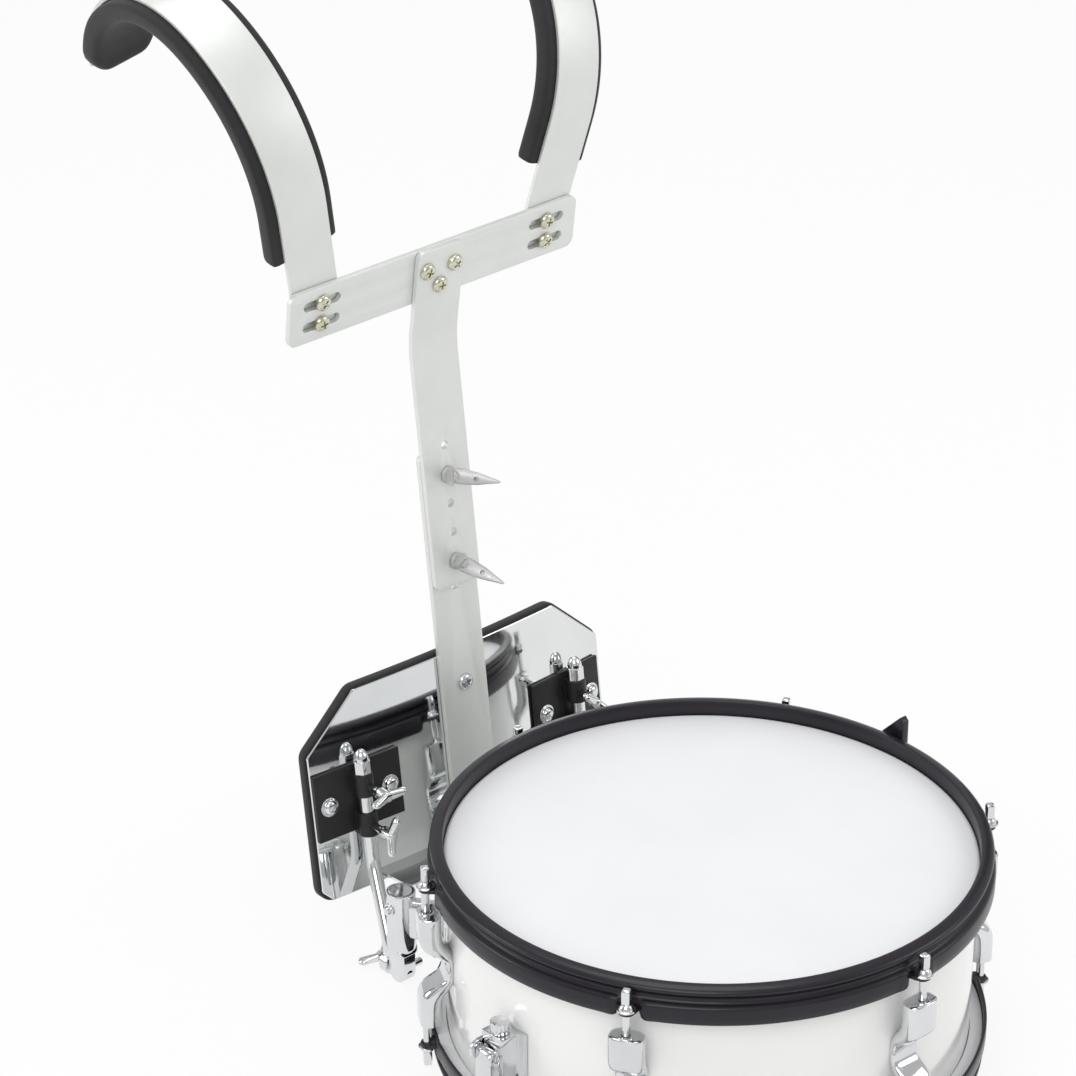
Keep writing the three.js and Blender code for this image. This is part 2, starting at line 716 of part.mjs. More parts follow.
function receiverBody(side) {
  const place = side * receiverAngle;
  const tube = revolve(
    [
      [0, receiverLow - overrun], [receiverRadius - receiverDish, receiverLow - overrun],
      [receiverRadius, receiverLow], [receiverRadius, receiverTop],
      [receiverDishRadius, receiverTop], [receiverDishRadius, receiverTop - receiverDish],
      [0, receiverTop - receiverDish],
    ],
    2 * rodSides,
  );
  // The yoke is drawn with its bolt along +X and set so that the bolt runs to the player.
  const half = yokeDepth / 2;
  const yoke = new THREE.Shape();
  yoke.moveTo(-half, receiverLow);
  yoke.absarc(0, yokeLow + half, half, Math.PI, fullTurn, false);
  yoke.lineTo(half, receiverLow);
  const cap = block(-half, half, -yokeCap / 2, yokeCap / 2, receiverLow - yokeCapHeight, receiverLow + gap);
  const boltHole = turned(
    bar(clampBoltRadius + boltClearance, -yokeDepth, yokeDepth, tubeSides), 0, quarterTurn, 0,
  );
  const drilled = finRZ(yoke, yokeWidth).add(cap).subtract(moved(boltHole, 0, 0, boltZ));
  const stub = bar(crossPinRadius, yokeWidth / 2 - gap, crossPinReach, rodSides);
  const pin = turned(stub, -side * quarterTurn, 0, 0);
  const facing = turned(drilled.add(moved(pin, 0, 0, boltZ)), 0, 0, Math.PI - place * degree);
  const standing = moved(tube.add(facing), receiverCircle, 0, 0);
  const web = block(
    shellRadius, receiverCircle, -receiverWeb / 2, receiverWeb / 2,
    receiverTop - receiverWebHeight - receiverFoot, receiverTop - receiverFoot,
  );
  const foot = rounded(receiverFootWidth, receiverWebHeight + 2 * receiverFoot, receiverFootWidth / 2);
  const upright = turned(slab(foot, 0, shellRadius + receiverFoot), quarterTurn, 0, 0);
  const footSolid = turned(upright, 0, 0, quarterTurn);
  const placedFoot = moved(footSolid, 0, 0, receiverTop - receiverFoot - receiverWebHeight / 2);
  return aroundDrum(seatOnShell(joined([standing, web, placedFoot])), place);
}

// Belly plate and foam: upright sections of [depth, height] places, set along a bend about an upright
// axis behind the plate.
function alongBend(stations, section) {
  const rings = stations.map((s) => {
    const a = s / plateBendRadius;
    return section(Math.abs(s)).map(([y, z]) => {
      const r = plateBendRadius - y;
      return new THREE.Vector3(r * Math.sin(a), plateBendRadius - r * Math.cos(a), z);
    });
  });
  return skin(rings);
}

// Eight-sided sheet between two depths; the border widens it all round.
function sheet(border, near, far) {
  const [w, t, k] = [plateHalfWidth + border, plateTopHalfWidth + border / 2, plateKnee + border / 2];
  const [top, low, c] = [plateTop + border, plateBottom - border, plateBottomCorner];
  const half = [...plateStationShares.map((share) => share * t), (t + w) / 2, w - c, w];
  const stations = [...half.map((s) => -s).reverse(), 0, ...half];
  return alongBend(stations, (s) => {
    const high = s <= t ? top : top - ((top - k) * (s - t)) / (w - t);
    const under = s <= w - c ? low : low + s - w + c;
    return [[near, high], [near, under], [far, under], [far, high]];
  });
}

function bellyPlate() {
  const low = plateBottom;
  const high = plateBottom + plateThickness;
  const [near, far] = [-plateFlange, plateThickness / 2];
  const half = [plateFlangeHalfWidth / 2, plateFlangeHalfWidth];
  const places = [-half[1], -half[0], 0, ...half];
  const flange = alongBend(places, () => [[near, high], [near, low], [far, low], [far, high]]);
  return sheet(0, 0, plateThickness).add(flange);
}

const bellyFoam = () => sheet(foamBorder, plateThickness + gap, plateThickness + gap + foamThickness);

// How far behind the middle of the plate a place at a distance along it lies.
const sagAt = (s) => plateBendRadius * (1 - Math.cos(s / plateBendRadius));

// Rod clamp: plate with two round-headed bolts and two short sleeves, each drilled for its wing bolt
function clampBody(side, boltTurn) {
  const i = mirrored.indexOf(side);
  const mid = clampTop - clampHeight / 2;
  const face = -gap - clampPlate;
  const edges = [side * clampReach[i], -side * clampInner];
  const plate = block(Math.min(...edges), Math.max(...edges), face, -gap, clampTop - clampHeight, clampTop);
  const bore = rodBarRadius + boltClearance;
  const sleeve = (low, high) =>
    revolve([[bore, low], [sleeveRadius, low], [sleeveRadius, high], [bore, high]], tubeSides);
  const neck = (low, high) =>
    block(-bore, bore, bore - sleeveStandoff, -gap, low, high);
  const spans = [[upperSleeveBottom, sleeveTop], [sleeveBottom, lowerSleeveTop]];
  const necks = spans.map(([low, high]) => neck(low, high));
  const sleeves = spans.map(([low, high]) => moved(sleeve(low, high), 0, -sleeveStandoff, 0));
  const bolts = [side * clampBoltReach[i], -side * clampBoltInner].map((x) => {
    const washer = bar(clampWasherRadius, -gap, clampWasher, tubeSides);
    const head = bar(clampBoltHead, -gap, clampWasher + clampBoltHeadHeight, rodSides - 2);
    return moved(turned(washer.add(head), quarterTurn, 0, 0), x, face, mid);
  });
  const drill = bar(sleeveWing.shank + boltClearance, 0, 2 * sleeveRadius, rodSides);
  const hole = turned(drill, quarterTurn, 0, 0);
  const holes = [upperWingHeight, lowerWingHeight].map((height) =>
    moved(turned(hole, 0, 0, boltTurn), 0, -sleeveStandoff, height),
  );
  return joined([plate, ...necks, ...sleeves, ...bolts]).subtract(joined(holes));
}

function acornBody() {
  const hex = bar(acornHex, 0, acornHexHeight, rodSides - 2);
  const arc = Array.from({ length: cornerSteps }, (_, k) => {
    const a = (k * quarterTurn) / cornerSteps;
    return [acornDomeRadius * Math.cos(a), acornHexHeight + gap + acornDomeHeight * Math.sin(a)];
  });
  const crown = acornHexHeight + gap + acornDomeHeight;
  const low = acornHexHeight / 2;
  const dome = revolve([[0, low], [acornDomeRadius, low], ...arc, [0, crown]], tubeSides);
  const bore = bar(acornStudRadius + boltClearance, -overrun, acornStud + gap, rodSides);
  return hex.add(dome).subtract(bore);
}

// Path through a list of places, with a soft bend at each inner one.
function bentPath(places) {
  const path = [places[0]];
  for (let i = 1; i < places.length - 1; i++) {
    const before = places[i].clone().sub(places[i - 1]).normalize();
    const after = places[i + 1].clone().sub(places[i]).normalize();
    const cut = rodBendRadius * Math.tan(before.angleTo(after) / 2);
    const enter = places[i].clone().addScaledVector(before, -cut);
    const leave = places[i].clone().addScaledVector(after, cut);
    path.push(...new THREE.QuadraticBezierCurve3(enter, places[i], leave).getPoints(cornerSteps));
  }
  path.push(places[places.length - 1]);
  return path;
}

// Bent rod from the sleeves down to the eye on the receiver's clamp bolt, in the drum's frame
function bentRod(top, knee, eye, boltDirection, up) {
  const above = eye.clone();
  above.z += rodLevelRise;
  const end = eye.clone();
  end.z -= eyeRadius / 2;
  const tube = loftTube(bentPath([top, knee, above, end]), rodBarRadius, tubeSides);
  const disc = bar(eyeRadius, -eyeThickness / 2, eyeThickness / 2, tubeSides);
  const hole = bar(clampBoltRadius + boltClearance, -eyeThickness, eyeThickness, rodSides);
  const stud = bar(acornStudRadius, -overrun, acornStud, rodSides);
  const lookAlong = (direction, place, body) => {
    const turn = new THREE.Quaternion().setFromUnitVectors(new THREE.Vector3(0, 0, 1), direction);
    return body.transform(new THREE.Matrix4().compose(place, turn, new THREE.Vector3(1, 1, 1)).toArray());
  };
  // The rod is pressed flat round the eye.
  const beside = eyeRadius + overrun;
  const flats = mirrored.map((face) => {
    const [near, far] = [(face * eyeThickness) / 2, face * beside];
    return lookAlong(boltDirection, eye, bar(beside, Math.min(near, far), Math.max(near, far), tubeSides));
  });
  const flattened = flats.reduce((left, cut) => left.subtract(cut), tube);
  const made = joined([flattened, lookAlong(boltDirection, eye, disc), lookAlong(up, top, stud)]);
  return made.subtract(lookAlong(boltDirection, eye, hole));
}

// Round tube through a list of places, with mitred joints.
function loftTube(stations, radius, sides) {
  const directions = stations.slice(1).map((p, i) => p.clone().sub(stations[i]).normalize());
  const axis = new THREE.Vector3(1, 0, 0);
  const rings = stations.map((place, i) => {
    const before = directions[Math.max(i - 1, 0)];
    const after = directions[Math.min(i, directions.length - 1)];
    const middle = before.clone().add(after).normalize();
    const u = axis.clone().addScaledVector(middle, -axis.dot(middle)).normalize();
    const v = middle.clone().cross(u);
    return Array.from({ length: sides }, (_, k) => {
      const a = (k * fullTurn) / sides;
      return place.clone().addScaledVector(u, radius * Math.cos(a)).addScaledVector(v, radius * Math.sin(a));
    });
  });
  return skin(rings);
}

// Closed body over a list of rings that each hold the same number of places.
function skin(rings) {
  const count = rings[0].length;
  const places = rings.flat();
  const faces = [];
  for (let i = 0; i < rings.length - 1; i++)
    for (let k = 0; k < count; k++) {
      const [a, b] = [i * count + k, i * count + ((k + 1) % count)];
      faces.push(a, b, b + count, a, b + count, a + count);
    }
  const last = (rings.length - 1) * count;
  for (let k = 1; k < count - 1; k++) {
    faces.push(0, k + 1, k);
    faces.push(last, last + k, last + k + 1);
  }
  const geometry = new THREE.BufferGeometry().setFromPoints(places);
  geometry.setIndex(faces);
  return solid(geometry);
}

// Masts
function lowerMast() {
  const height = lowerMastTop - lowerMastBottom;
  const outline = rounded(mastWidth, height, mastCorner);
  const shape = pathOf(outline.getPoints(cornerSteps).map((p) => [p.x, p.y + lowerMastBottom + height / 2]));
  const slotMiddle = (mastSlotBottom + mastSlotTop) / 2;
  shape.holes.push(slotShape(0, slotMiddle, mastSlotTop - mastSlotBottom, mastSlotWidth, true));
  const plate = plateXZ(shape, -gap - mastThickness, -gap);
  const screw = turned(bar(screwHead + gap, -gap, screwHeadHeight, rodSides), quarterTurn, 0, 0);
  return plate.add(moved(screw, 0, -gap - mastThickness, mastScrewHeight));
}

// The upper mast's front face: straight up the tilted mast, then leaning forward in the drum's frame.
const upperMastBack = -2 * gap - mastThickness;
const upperMastFront = upperMastBack - mastThickness;
const leanInCarrier = forwardLean - carrierTilt;
const topRun = upperMastTop - upperMastBend;

// Crossbar's frame: its middle on the mast's back face, leaning with the mast's top.
const barRun = topRun - barDrop;
const headY = upperMastBack - barRun * Math.sin(leanInCarrier);
const headZ = upperMastBend + mastThickness * Math.tan(leanInCarrier / 2) + barRun * Math.cos(leanInCarrier);

function upperMast() {
  const bendShare = Math.tan(leanInCarrier / 2);
  const below = upperMastBend - bendBlend;
  const inner = mastThickness * bendShare;
  const leanX = Math.sin(leanInCarrier);
  const leanZ = Math.cos(leanInCarrier);
  // Side outline in depth and height; the bend is one soft curve on each face.
  const side = new THREE.Shape();
  side.moveTo(upperMastFront, upperMastBottom);
  side.lineTo(upperMastFront, below);
  side.quadraticCurveTo(
    upperMastFront, upperMastBend, upperMastFront - bendBlend * leanX, upperMastBend + bendBlend * leanZ,
  );
  side.lineTo(upperMastFront - topRun * leanX, upperMastBend + topRun * leanZ);
  side.lineTo(
    upperMastFront - topRun * leanX + mastThickness * leanZ,
    upperMastBend + topRun * leanZ + mastThickness * leanX,
  );
  side.lineTo(
    upperMastBack - bendBlend * leanX, upperMastBend + inner + bendBlend * leanZ,
  );
  side.quadraticCurveTo(upperMastBack, upperMastBend + inner, upperMastBack, below);
  side.lineTo(upperMastBack, upperMastBottom);
  const body = turned(finRZ(side, mastWidth), 0, 0, quarterTurn);
  const height = upperMastBend + topRun - upperMastBottom;
  const outline = rounded(mastWidth, height + mastThickness, mastCorner).getPoints(cornerSteps);
  const front = pathOf(outline.map((p) => [p.x, p.y + upperMastBottom + (height + mastThickness) / 2]));
  for (let i = 0; i < mastHoles; i++) {
    front.holes.push(holePath(0, mastHoleLowest + i * mastHolePitch, mastHoleRadius));
  }
  const reach = topRun + mastWidth;
  const aside = mastScrewSpacing / 2;
  const screws = [[-aside, mastScrewRise], [aside, mastScrewRise], [0, -mastScrewDrop]];
  const heads = screws.map(([x, z]) => {
    const placed = turned(moved(panScrew(gap), x, -mastThickness, z), leanInCarrier, 0, 0);
    return moved(placed, 0, headY, headZ);
  });
  return joined([body.intersect(plateXZ(front, -reach, reach)), ...heads]);
}

function crossbar() {
  const outline = rounded(barLength, barHeight, barCorner);
  for (const side of mirrored)
    for (const row of mirrored)
      outline.holes.push(slotShape(side * slotPlace, (row * slotSpacing) / 2, slotLength, slotWidth, false));
  return plateXZ(outline, gap, gap + barThickness);
}

// Pan-head screw whose head rests on the face at Y = 0 and whose shank runs to +Y.
function panScrew(shankLength) {
  const head = revolve(
    [
      [0, -gap], [screwHead, -gap], [screwHead, screwHeadHeight / 2], [screwHead / 2, screwHeadHeight],
      [0, screwHeadHeight],
    ],
    rodSides,
  );
  return turned(head.add(bar(screwRadius, -shankLength, 0, rodSides)), quarterTurn, 0, 0);
}

// Side view of the strap's middle face: a straight foot, a wide bend, a tighter one and a short tail.
function strapStations(lowest) {
  const places = [{ y: 0, z: lowest, a: 0 }, { y: 0, z: strapStraight, a: 0 }];
  const follow = (radius, sweep) => {
    for (let i = 1; i <= strapSteps; i++) {
      const last = places[places.length - 1];
      const step = sweep / strapSteps;
      const a = last.a + step;
      const chord = 2 * radius * Math.sin(step / 2);
      const middle = last.a + step / 2;
      places.push({ y: last.y + chord * Math.sin(middle), z: last.z + chord * Math.cos(middle), a });
    }
  };
  follow(strapFrontRadius, strapFrontSweep);
  follow(strapRearRadius, strapRearSweep);
  const { y, z, a } = places[places.length - 1];
  places.push({ y: y + strapTail * Math.sin(a), z: z + strapTail * Math.cos(a), a });
  return places;
}

// Sweeps a section, given as [across, inward] places, along the strap.
function alongStrap(stations, section) {
  const rings = stations.map(({ y, z, a }) =>
    section.map(([across, inward]) =>
      new THREE.Vector3(across, y + inward * Math.cos(a), z - inward * Math.sin(a)),
    ),
  );
  return skin(rings);
}

function strapBody() {
  const half = strapWidth / 2;
  return alongStrap(strapStations(-strapFoot), [
    [-half, 0], [half, 0], [half, strapThickness], [-half, strapThickness],
  ]);
}

function padBody() {
  const near = strapThickness + gap;
  const far = near + padThickness;
  const half = padWidth / 2;
  const crown = half * padCrownShare;
  const wide = near + padThickness * padSideShare;
  return alongStrap(strapStations(padStart), [
    [-half, near], [half, near], [half, wide], [crown, far], [-crown, far], [-half, wide],
  ]);
}

// Assembly
const part = new THREE.Group();
const add = (parent, body, name, material) => parent.add(meshOf(body, name, material));

// Drum
add(part, shellBody(), "drum_shell", lacquer);
add(part, headBody(), "batter_head", headFilm);
add(part, upsideDown(headBody()), "snare_head", headFilm);
add(part, hoopBody(), "top_hoop", black);
add(part, gatedHoop(upsideDown(hoopBody())), "bottom_hoop", black);
const rod = tensionRod();
const lug = lugBody();
lugAngles.forEach((angle, i) => {
  add(part, aroundDrum(lug, angle), `lug_${i + 1}`, chrome);
  add(part, aroundDrum(rod, angle), `top_tension_rod_${i + 1}`, chrome);
  add(part, upsideDown(aroundDrum(rod, 180 - angle)), `bottom_tension_rod_${i + 1}`, chrome);
});
add(part, snareBody(), "snare_wires", steelWire);
add(part, aroundDrum(strainerBody(), -90), "strainer_body", chrome);
add(part, aroundDrum(strainerLever(), -90), "strainer_lever", chrome);
add(part, aroundDrum(moved(knobBody(), knobPlace, 0, 0), -90), "strainer_knob", chrome);
add(part, aroundDrum(buttBody(), 90), "butt_plate", chrome);
add(part, hookBody(), "hook_plate", black);

// Carrier's tilted frame: its origin is on the belly plate's front face, at the head's height
const carrier = new THREE.Group();
carrier.position.y = plateDistance;
carrier.rotation.x = carrierTilt;
part.add(carrier);
add(carrier, bellyPlate(), "belly_plate", mirror);
add(carrier, bellyFoam(), "belly_foam", foam);
add(carrier, lowerMast(), "lower_mast", aluminium);
add(carrier, upperMast(), "upper_mast", aluminium);

const yokeBack = eyeStandoff + eyeThickness / 2 + gap;
mirrored.forEach((side, i) => {
  const word = ["left", "right"][i];
  const station = new THREE.Group();
  const turn = (side * clampPlace) / plateBendRadius;
  station.position.set(plateBendRadius * Math.sin(turn), sagAt(clampPlace), 0);
  station.rotation.z = turn;
  carrier.add(station);
  const boltTurn = sleeveWingTurns[i] * degree - turn;
  add(station, clampBody(side, boltTurn), `${word}_rod_clamp`, black);

  // Wing bolts through the sleeves, and the acorn cap on the rod's end
  const axis = new THREE.Group();
  axis.position.y = -sleeveStandoff;
  station.add(axis);
  const shank = sleeveWingStandoff - rodBarRadius - gap;
  const sleeveWings = [
    ["upper", upperWingRolls[i], upperWingHeight],
    ["lower", lowerWingRolls[i], lowerWingHeight],
  ];
  sleeveWings.forEach(([level, roll, height]) => {
    const rolled = turned(wingBody(sleeveWing, shank, 0, 0, 0), 0, 0, roll * degree);
    const lying = turned(moved(rolled, 0, 0, sleeveWingStandoff), quarterTurn, 0, 0);
    const set = moved(turned(lying, 0, 0, boltTurn), 0, 0, height);
    add(axis, set, `${word}_${level}_sleeve_wing_bolt`, chrome);
  });
  add(axis, moved(acornBody(), 0, 0, sleeveTop + gap), `${word}_acorn_cap`, chrome);

  // Receiver, its clamp bolt and the bent rod
  add(part, receiverBody(side), `${word}_receiver`, chrome);
  const toPlayer = new THREE.Vector3(0, 1, 0);
  const centre = new THREE.Vector3(receiverCircle, 0, boltZ);
  centre.applyAxisAngle(new THREE.Vector3(0, 0, 1), side * receiverAngle * degree - quarterTurn);
  const eyePlace = centre.clone().addScaledVector(toPlayer, eyeStandoff);
  part.updateMatrixWorld(true);
  const inDrum = (z) => axis.localToWorld(new THREE.Vector3(0, 0, z));
  const rodTop = inDrum(sleeveTop);
  const up = inDrum(sleeveTop + acornStud).sub(rodTop).normalize();
  add(part, bentRod(rodTop, inDrum(rodStraightEnd), eyePlace, toPlayer, up), `${word}_bent_rod`, chrome);
  const bolt = turned(wingBody(eyeWing, yokeBack + yokeDepth / 2, 0, 0, 0), 0, 0, eyeWingRolls[i] * degree);
  const lying = turned(moved(bolt, 0, 0, yokeBack), -quarterTurn, 0, 0);
  add(part, moved(lying, centre.x, centre.y, centre.z), `${word}_clamp_wing_bolt`, chrome);
});

// Wing bolts that clamp the two masts
mastWingHoles.forEach((hole, i) => {
  const grip = -upperMastFront + gap;
  const length = grip + 2 * gap + screwHeadHeight;
  const bolt = wingBody(mastWing, length, mastWing.hub, screwHeadHeight, grip + gap);
  const rolled = turned(bolt, 0, 0, mastWingRolls[i] * degree);
  const lying = turned(rolled, quarterTurn, 0, 0);
  const height = mastHoleLowest + hole * mastHolePitch;
  const word = ["lower", "upper"][i];
  add(carrier, moved(lying, 0, upperMastFront - gap, height), `${word}_mast_wing_bolt`, chrome);
});

// Crossbar's frame on the mast's leaning top
const head = new THREE.Group();
head.position.set(0, headY, headZ);
head.rotation.x = leanInCarrier;
carrier.add(head);
const rolledBar = new THREE.Group();
rolledBar.rotation.y = barRoll;
head.add(rolledBar);
add(rolledBar, crossbar(), "crossbar", aluminium);

const strapBack = 2 * gap + barThickness;
mirrored.forEach((side, i) => {
  const word = ["left", "right"][i];
  const strapFrame = new THREE.Group();
  strapFrame.position.set(side * slotPlace, strapBack, -side * slotPlace * Math.sin(barRoll));
  strapFrame.rotation.y = side * strapSplay;
  head.add(strapFrame);
  add(strapFrame, strapBody(), `${word}_shoulder_strap`, aluminium);
  add(strapFrame, padBody(), `${word}_shoulder_pad`, foam);
  mirrored.forEach((row, j) => {
    const screw = panScrew(barThickness);
    const z = (row * slotSpacing) / 2;
    add(rolledBar, moved(screw, side * slotPlace, 0, z), `${word}_strap_screw_${j + 1}`, zinc);
  });
});

export default part;
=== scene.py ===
"""Looks of the marching snare drum with its shoulder carrier. Lengths are written in millimetres and
turned to metres where a mesh is made, in the CAD model's own frame."""
import math

import bmesh
import bpy
from mathutils import Matrix, Vector


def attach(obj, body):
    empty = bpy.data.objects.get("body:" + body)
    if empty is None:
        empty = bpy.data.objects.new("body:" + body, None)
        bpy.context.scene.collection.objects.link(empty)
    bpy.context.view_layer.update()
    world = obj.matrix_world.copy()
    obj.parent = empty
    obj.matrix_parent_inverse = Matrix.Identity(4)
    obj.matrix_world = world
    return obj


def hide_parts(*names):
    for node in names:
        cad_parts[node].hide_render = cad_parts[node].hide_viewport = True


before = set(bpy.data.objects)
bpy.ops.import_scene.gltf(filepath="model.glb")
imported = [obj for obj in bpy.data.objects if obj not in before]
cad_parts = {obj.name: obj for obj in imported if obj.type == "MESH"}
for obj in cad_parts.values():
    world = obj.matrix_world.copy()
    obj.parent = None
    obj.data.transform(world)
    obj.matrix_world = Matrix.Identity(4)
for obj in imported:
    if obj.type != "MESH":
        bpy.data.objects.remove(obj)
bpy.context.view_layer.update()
scene = bpy.context.scene
MM = 0.001
PI = math.pi
MIDDLE_OF_NOISE = (0.3, 0.7)
EDGE_ROUNDING = 0.0004
SIDES = ((-1, "left"), (1, "right"))


def aimed(obj, place, way):
    """Puts a camera, lamp or board at a place in metres, facing along a direction."""
    obj.rotation_mode = "QUATERNION"
    obj.location = place
    obj.rotation_quaternion = way.to_track_quat("-Z", "Y")


# Camera, at the photograph's viewing angle
eye = Vector((-1570.7, -1579.2, 1369.8))
target = Vector((-152.8, 1.6, 281.7))
camera_data = bpy.data.cameras.new("photo_camera")
camera_data.lens = 131.36
camera_data.sensor_width = 36
camera_data.clip_start = 0.1
camera_data.clip_end = 60
camera = bpy.data.objects.new("photo_camera", camera_data)
scene.collection.objects.link(camera)
aimed(camera, eye * MM, target - eye)
scene.camera = camera
scene.view_settings.view_transform = "Standard"


# Materials
def nodes_of(name):
    """A new material, its maker of links, its shader, and a maker of further nodes."""
    made = bpy.data.materials.new(name)
    made.use_nodes = True
    tree = made.node_tree
    shader = tree.nodes["Principled BSDF"]

    def new(kind, **values):
        """A node of the material, with some of its properties set."""
        node = tree.nodes.new(kind)
        for key, value in values.items():
            setattr(node, key, value)
        return node

    return made, tree.links.new, shader, new


def preset(node, values):
    """Sets a node's inputs by their names."""
    for key, value in values.items():
        node.inputs[key].default_value = value
    return node


def coordinates(link, new, stretch=(1, 1, 1)):
    """Object coordinates in metres, stretched along the axes."""
    place = new("ShaderNodeTexCoord")
    mapping = preset(new("ShaderNodeMapping"), {"Scale": stretch})
    link(place.outputs["Object"], mapping.inputs["Vector"])
    return mapping.outputs["Vector"]


def noise(link, new, vector, scale, detail=4.0, rough=0.55):
    """Noise in space, most of it between the values of MIDDLE_OF_NOISE."""
    node = preset(new("ShaderNodeTexNoise"), {"Scale": scale, "Detail": detail, "Roughness": rough})
    link(vector, node.inputs["Vector"])
    return node.outputs["Fac"]


def ranged(link, new, value, low, high):
    """Spreads a noise from a low to a high value."""
    source_low, source_high = MIDDLE_OF_NOISE
    node = preset(new("ShaderNodeMapRange"), {"From Min": source_low, "From Max": source_high,
                                              "To Min": low, "To Max": high})
    link(value, node.inputs["Value"])
    return node.outputs["Result"]


def tinted(link, new, value, first, second):
    """Spreads a noise between two colours."""
    ramp = new("ShaderNodeValToRGB")
    for element, position, colour in zip(ramp.color_ramp.elements, MIDDLE_OF_NOISE, (first, second)):
        element.position = position
        element.color = (*colour, 1)
    link(value, ramp.inputs["Fac"])
    return ramp.outputs["Color"]


def bumped(link, new, shader, height, strength, distance, rounding=0.0):
    """Bump from a height, over edges that are rounded for the light if a radius is given."""
    bump = preset(new("ShaderNodeBump"), {"Strength": strength, "Distance": distance})
    link(height, bump.inputs["Height"])
    if rounding > 0:
        edge = preset(new("ShaderNodeBevel", samples=4), {"Radius": rounding})
        link(edge.outputs["Normal"], bump.inputs["Normal"])
    link(bump.outputs["Normal"], shader.inputs["Normal"])


def metal(name, first, second, rough, grain, strength, distance, stretch=(1, 1, 1), metallic=1.0):
    """Metal whose colour, gloss and surface vary with a grain that can be stretched into a brushed one."""
    made, link, shader, new = nodes_of(name)
    shader.inputs["Metallic"].default_value = metallic
    vector = coordinates(link, new, stretch)
    fine = noise(link, new, vector, grain, 6.0, 0.6)
    wide = noise(link, new, coordinates(link, new), 22.0, 3.0)
    link(tinted(link, new, wide, first, second), shader.inputs["Base Color"])
    link(ranged(link, new, fine, *rough), shader.inputs["Roughness"])
    bumped(link, new, shader, fine, strength, distance, EDGE_ROUNDING)
    return made


def coated(name, first, second, rough, grain, strength, distance, coat=0.0, specular=0.5,
           rounding=EDGE_ROUNDING, sheen=0.0):
    """Paint, anodising or foam: a colour with a fine grain, and a clear coat or sheen if asked."""
    made, link, shader, new = nodes_of(name)
    vector = coordinates(link, new)
    fine = noise(link, new, vector, grain, 5.0, 0.6)
    wide = noise(link, new, vector, 14.0, 3.0)
    link(tinted(link, new, wide, first, second), shader.inputs["Base Color"])
    link(ranged(link, new, fine, *rough), shader.inputs["Roughness"])
    preset(shader, {"Coat Weight": coat, "Coat Roughness": 0.06, "Sheen Weight": sheen,
                    "Specular IOR Level": specular})
    bumped(link, new, shader, fine, strength, distance, rounding)
    return made


chrome = metal("chrome_plate", (0.66, 0.67, 0.68), (0.76, 0.77, 0.78), (0.05, 0.11), 260.0, 0.05, 0.0003)
cast_chrome = metal("cast_chrome", (0.62, 0.63, 0.64), (0.74, 0.75, 0.76), (0.1, 0.2), 420.0, 0.16, 0.0004)
cast_steel = metal("cast_steel", (0.58, 0.585, 0.58), (0.68, 0.685, 0.68), (0.46, 0.6), 420.0, 0.22, 0.0004)
satin = metal("satin_aluminium", (0.73, 0.745, 0.72), (0.77, 0.785, 0.76), (0.42, 0.58), 1300.0, 0.14, 0.0003,
              (1, 1, 0.06), 0.6)
satin_bar = metal("satin_aluminium_bar", (0.74, 0.755, 0.73), (0.78, 0.795, 0.77), (0.42, 0.58), 1300.0,
                  0.14, 0.0003, (0.06, 1, 1), 0.6)
dished = metal("dished_chrome", (0.27, 0.31, 0.36), (0.36, 0.40, 0.45), (0.12, 0.24), 300.0, 0.1, 0.0003)
zinc = metal("yellow_zinc", (0.60, 0.58, 0.45), (0.74, 0.73, 0.62), (0.14, 0.26), 500.0, 0.1, 0.0003)
bright_steel = metal("bright_steel", (0.55, 0.56, 0.57), (0.66, 0.67, 0.68), (0.18, 0.3), 600.0,
                     0.08, 0.0002)
hoop_black = coated("hoop_black", (0.0105, 0.0085, 0.0135), (0.0155, 0.013, 0.0195), (0.28, 0.38), 700.0,
                    0.12, 0.0003, coat=0.12, specular=0.3)
clamp_black = coated("clamp_black", (0.015, 0.015, 0.0155), (0.022, 0.0215, 0.022), (0.36, 0.5), 900.0,
                     0.2, 0.0003, specular=0.3)
lacquer = coated("white_lacquer", (0.86, 0.865, 0.85), (0.88, 0.885, 0.87), (0.14, 0.2), 90.0,
                 0.03, 0.0004, 0.6)
foam = coated("foam_skin", (0.009, 0.0085, 0.010), (0.019, 0.018, 0.021), (0.7, 0.9), 1500.0,
              0.55, 0.0005, rounding=0.0008, sheen=0.12)


def head_material():
    """White film with a fine crossed weave under its satin coat."""
    made, link, shader, new = nodes_of("head_film")
    vector = coordinates(link, new)
    threads = []
    for direction in ("X", "Y"):
        wave = new("ShaderNodeTexWave", wave_type="BANDS", bands_direction=direction)
        preset(wave, {"Scale": 420.0, "Distortion": 0.6, "Detail": 1.0})
        link(vector, wave.inputs["Vector"])
        threads.append(wave.outputs["Fac"])
    weave = new("ShaderNodeMath", operation="MULTIPLY")
    link(threads[0], weave.inputs[0])
    link(threads[1], weave.inputs[1])
    wide = noise(link, new, vector, 9.0, 4.0)
    colour = tinted(link, new, wide, (0.80, 0.805, 0.825), (0.83, 0.835, 0.85))
    link(colour, shader.inputs["Base Color"])
    link(ranged(link, new, wide, 0.42, 0.52), shader.inputs["Roughness"])
    bumped(link, new, shader, weave.outputs["Value"], 0.08, 0.0002)
    return made


head_film = head_material()


